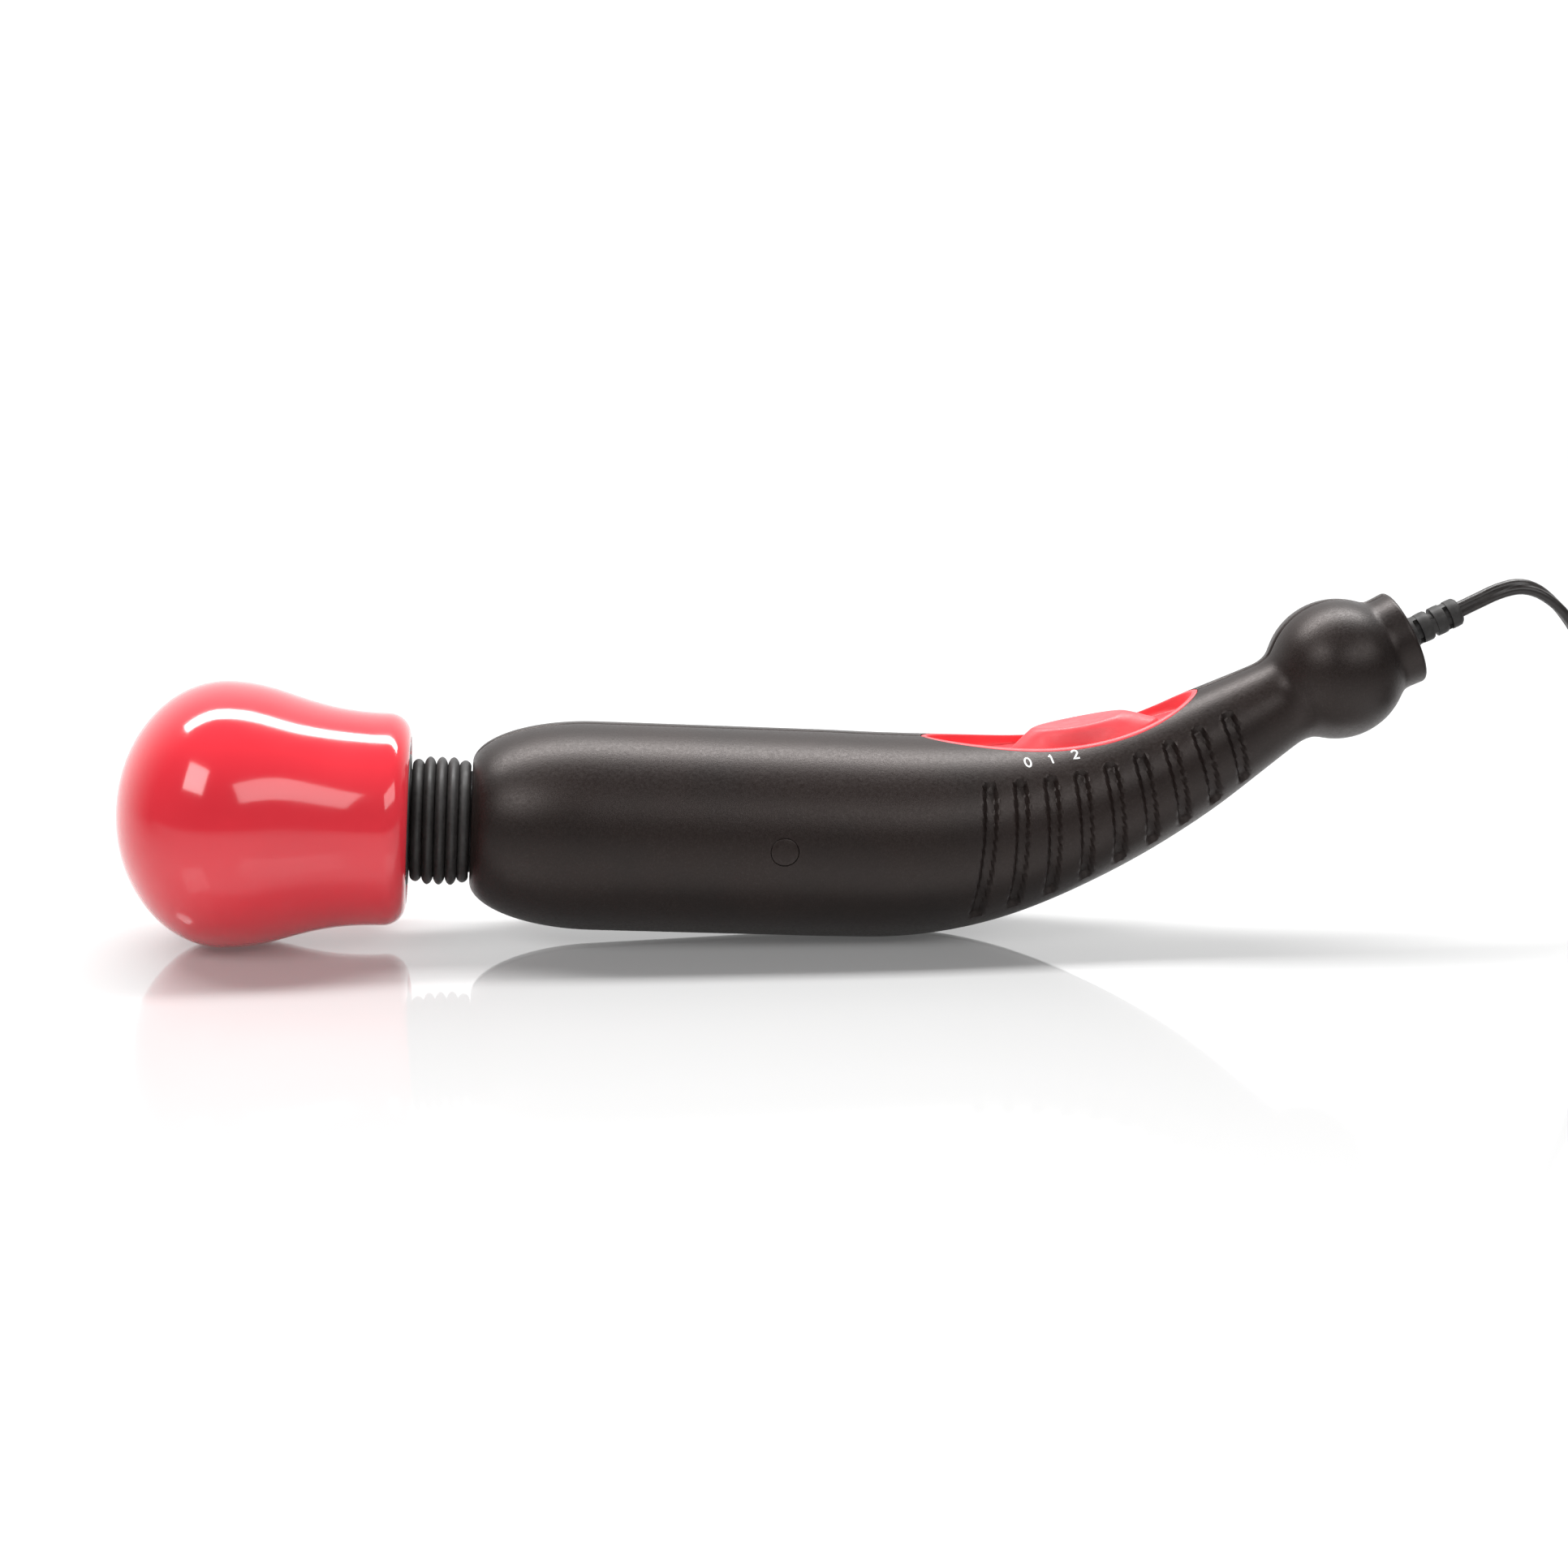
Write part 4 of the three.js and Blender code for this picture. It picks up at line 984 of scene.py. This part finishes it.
def adapter_ring(inset, z, ribbed=True):
    length, width, _ = ADAPTER_SIZE
    outline = dense(rounded_rectangle(length, width, 5))
    ring = []
    for x, y in outline:
        reach = inset
        if ribbed and abs(y) > width / 2 - 0.01 and abs(x) < 12.9:
            reach += RIB_DEPTH * (0.5 - 0.5 * math.cos(2 * math.pi * (x + 13) / RIB_PITCH))
        kx, ky = 1 - 2 * reach / length, 1 - 2 * reach / width
        ring.append((ADAPTER_X + length / 2 + x * kx, ADAPTER_Y + y * ky, z))
    return ring


def add_adapter():
    high = ADAPTER_SIZE[2]
    wall, edge, part_edge = 2.2, 1.6, 0.35
    curve = [(edge * (1 - math.sin(a)), edge * (1 - math.cos(a))) for a in np.radians(np.linspace(0, 90, 7))]
    pieces = []
    for name, face, split in (("adapter_front_case", 0, high / 2 - 0.1), ("adapter_back_case", high,
                                                                          high / 2 + 0.1)):
        way = 1 if face == 0 else -1
        rings = [adapter_ring(6, face, False)]
        rings += [adapter_ring(inset, face + way * rise, inset < 0.3) for inset, rise in curve]
        rings += [adapter_ring(0, split - way * part_edge), adapter_ring(part_edge, split),
                  adapter_ring(wall, split, False), adapter_ring(wall, face + way * wall, False)]
        thing = loft(name, rings, ROW)
        pieces.append(finish_piece(thing, "black_plastic", "handle", [name], 35))
    return pieces


def add_tie():
    """A flat strap in a closed loop round the coil."""
    near, far, low, high = 12.1, 28.3, 0.4, 12.0
    wide, thick = 5.0, 0.6
    outline = dense(rounded_rectangle(far - near, high - low, 2.4), 0.5)
    middle = ((near + far) / 2, (low + high) / 2)
    path = [(COIL_X, middle[0] + a, middle[1] + b) for a, b in outline]
    section = [(wide / 2, -thick / 2 + 0.15), (wide / 2 - 0.15, -thick / 2), (0.15 - wide / 2, -thick / 2),
               (-wide / 2, -thick / 2 + 0.15), (-wide / 2, thick / 2 - 0.15), (0.15 - wide / 2, thick / 2),
               (wide / 2 - 0.15, thick / 2), (wide / 2, thick / 2 - 0.15)]
    thing = sweep("cord_tie", path, section, ROW, wide=(1, 0, 0), closed=True)
    return finish_piece(thing, "black_rubber", "handle", ["cord_tie"], 40)


# ---- make everything ------------------------------------------------------------------------
cord, cord_line, cord_run = add_cord()
reliefs = add_reliefs()
adapter_cases = add_adapter()
tie = add_tie()
add_handle_half("handle_left", 1)
add_handle_half("handle_right", -1)
add_screws()
add_plug()
add_bezel()
add_button()
add_print()
add_cap()
add_rear_plate()
add_bellows()
add_neck_insides()

CARRIED = {
    "slide_switch_case": "steel", "circuit_board": "board_green", "slider_carrier": "black_plastic",
    "neck_rear_ferrule": "steel", "neck_front_ferrule": "steel", "motor_cradle": "black_plastic",
    "motor_boot": "black_rubber", "motor_can": "steel", "motor_end_cap": "ivory_plastic",
    "motor_bush": "bronze", "motor_shaft": "steel", "eccentric_weight": "steel",
    "adapter_blade_left": "blade_brass", "adapter_blade_right": "blade_brass",
}
for node, look in CARRIED.items():
    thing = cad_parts[node]
    if not thing.material_slots:
        thing.data.materials.append(LOOKS[look])
    for slot in thing.material_slots:
        slot.material = LOOKS[look]


# ---- floor and light ------------------------------------------------------------------------
def add_floor():
    size = 6.0
    rings = [[(-size, -size, 0), (size, -size, 0)], [(-size, size, 0), (size, size, 0)]]
    points = [p for ring in rings for p in ring]
    floor = add_object("floor", points, [(0, 1, 3, 2)], Matrix.Identity(4))
    look = Look("floor", (0.86, 0.86, 0.86), 0.06)
    tree = look.tree
    gloss = look.node("BsdfGlossy", {"Color": (1, 1, 1, 1), "Roughness": 0.04})
    diffuse = look.node("BsdfDiffuse", {"Color": (0.48, 0.48, 0.48, 1)})
    glow = look.node("Emission", {"Color": (1, 1, 1, 1), "Strength": 0.12})
    pale = look.node("AddShader", {0: diffuse.outputs["BSDF"], 1: glow.outputs["Emission"]})
    # The mirror is strongest at the object and fades towards the front of the floor.
    y = look.node("SeparateXYZ", {"Vector": look.where}).outputs["Y"]
    near = look.map(y, -0.2, -0.03, 0.5, 1.2)
    fresnel = look.node("Fresnel", {"IOR": 1.55}).outputs["Fac"]
    share = look.node("Math", {0: near, 1: fresnel}, operation="MULTIPLY").outputs["Value"]
    mix = look.node("MixShader", {0: share, 1: pale.outputs["Shader"], 2: gloss.outputs["BSDF"]})
    tree.nodes.remove(look.shader)
    tree.links.new(mix.outputs["Shader"], tree.nodes["Material Output"].inputs["Surface"])
    floor.data.materials.append(look.material)


def add_light(name, at, aim, size, power):
    lamp = bpy.data.lights.new(name, "AREA")
    lamp.shape = "RECTANGLE"
    lamp.size, lamp.size_y = size
    lamp.energy = power
    thing = bpy.data.objects.new(name, lamp)
    bpy.context.scene.collection.objects.link(thing)
    way = Vector(aim) - Vector(at)
    thing.matrix_world = Matrix.Translation(at) @ way.to_track_quat("-Z", "Y").to_matrix().to_4x4()


def add_world():
    """White behind the object and a paler grey in front of it."""
    world = bpy.data.worlds.new("studio")
    bpy.context.scene.world = world
    world.use_nodes = True
    tree = world.node_tree
    where = tree.nodes.new("ShaderNodeTexCoord")
    split = tree.nodes.new("ShaderNodeSeparateXYZ")
    ramp = tree.nodes.new("ShaderNodeMapRange")
    tree.links.new(where.outputs["Generated"], split.inputs["Vector"])
    tree.links.new(split.outputs["Y"], ramp.inputs["Value"])
    for key, value in {"From Min": -0.1, "From Max": 0.85, "To Min": 0.08, "To Max": 1.25}.items():
        ramp.inputs[key].default_value = value
    ramp.interpolation_type = "SMOOTHSTEP"
    sky = tree.nodes["Background"]
    sky.inputs["Color"].default_value = (1, 1, 1, 1)
    tree.links.new(ramp.outputs["Result"], sky.inputs["Strength"])


add_floor()
add_world()
add_light("strip_above", (-0.02, 0.3, 0.95), (0, 0, 0.02), (1.5, 0.2), 21)
add_light("window_left", (-0.62, -0.66, 0.72), (-0.1, 0, 0.03), (0.5, 0.42), 4.5)
add_light("window_right", (0.55, -0.85, 0.72), (-0.05, 0, 0.03), (1.1, 0.4), 5)
bpy.context.scene.view_settings.view_transform = "Standard"
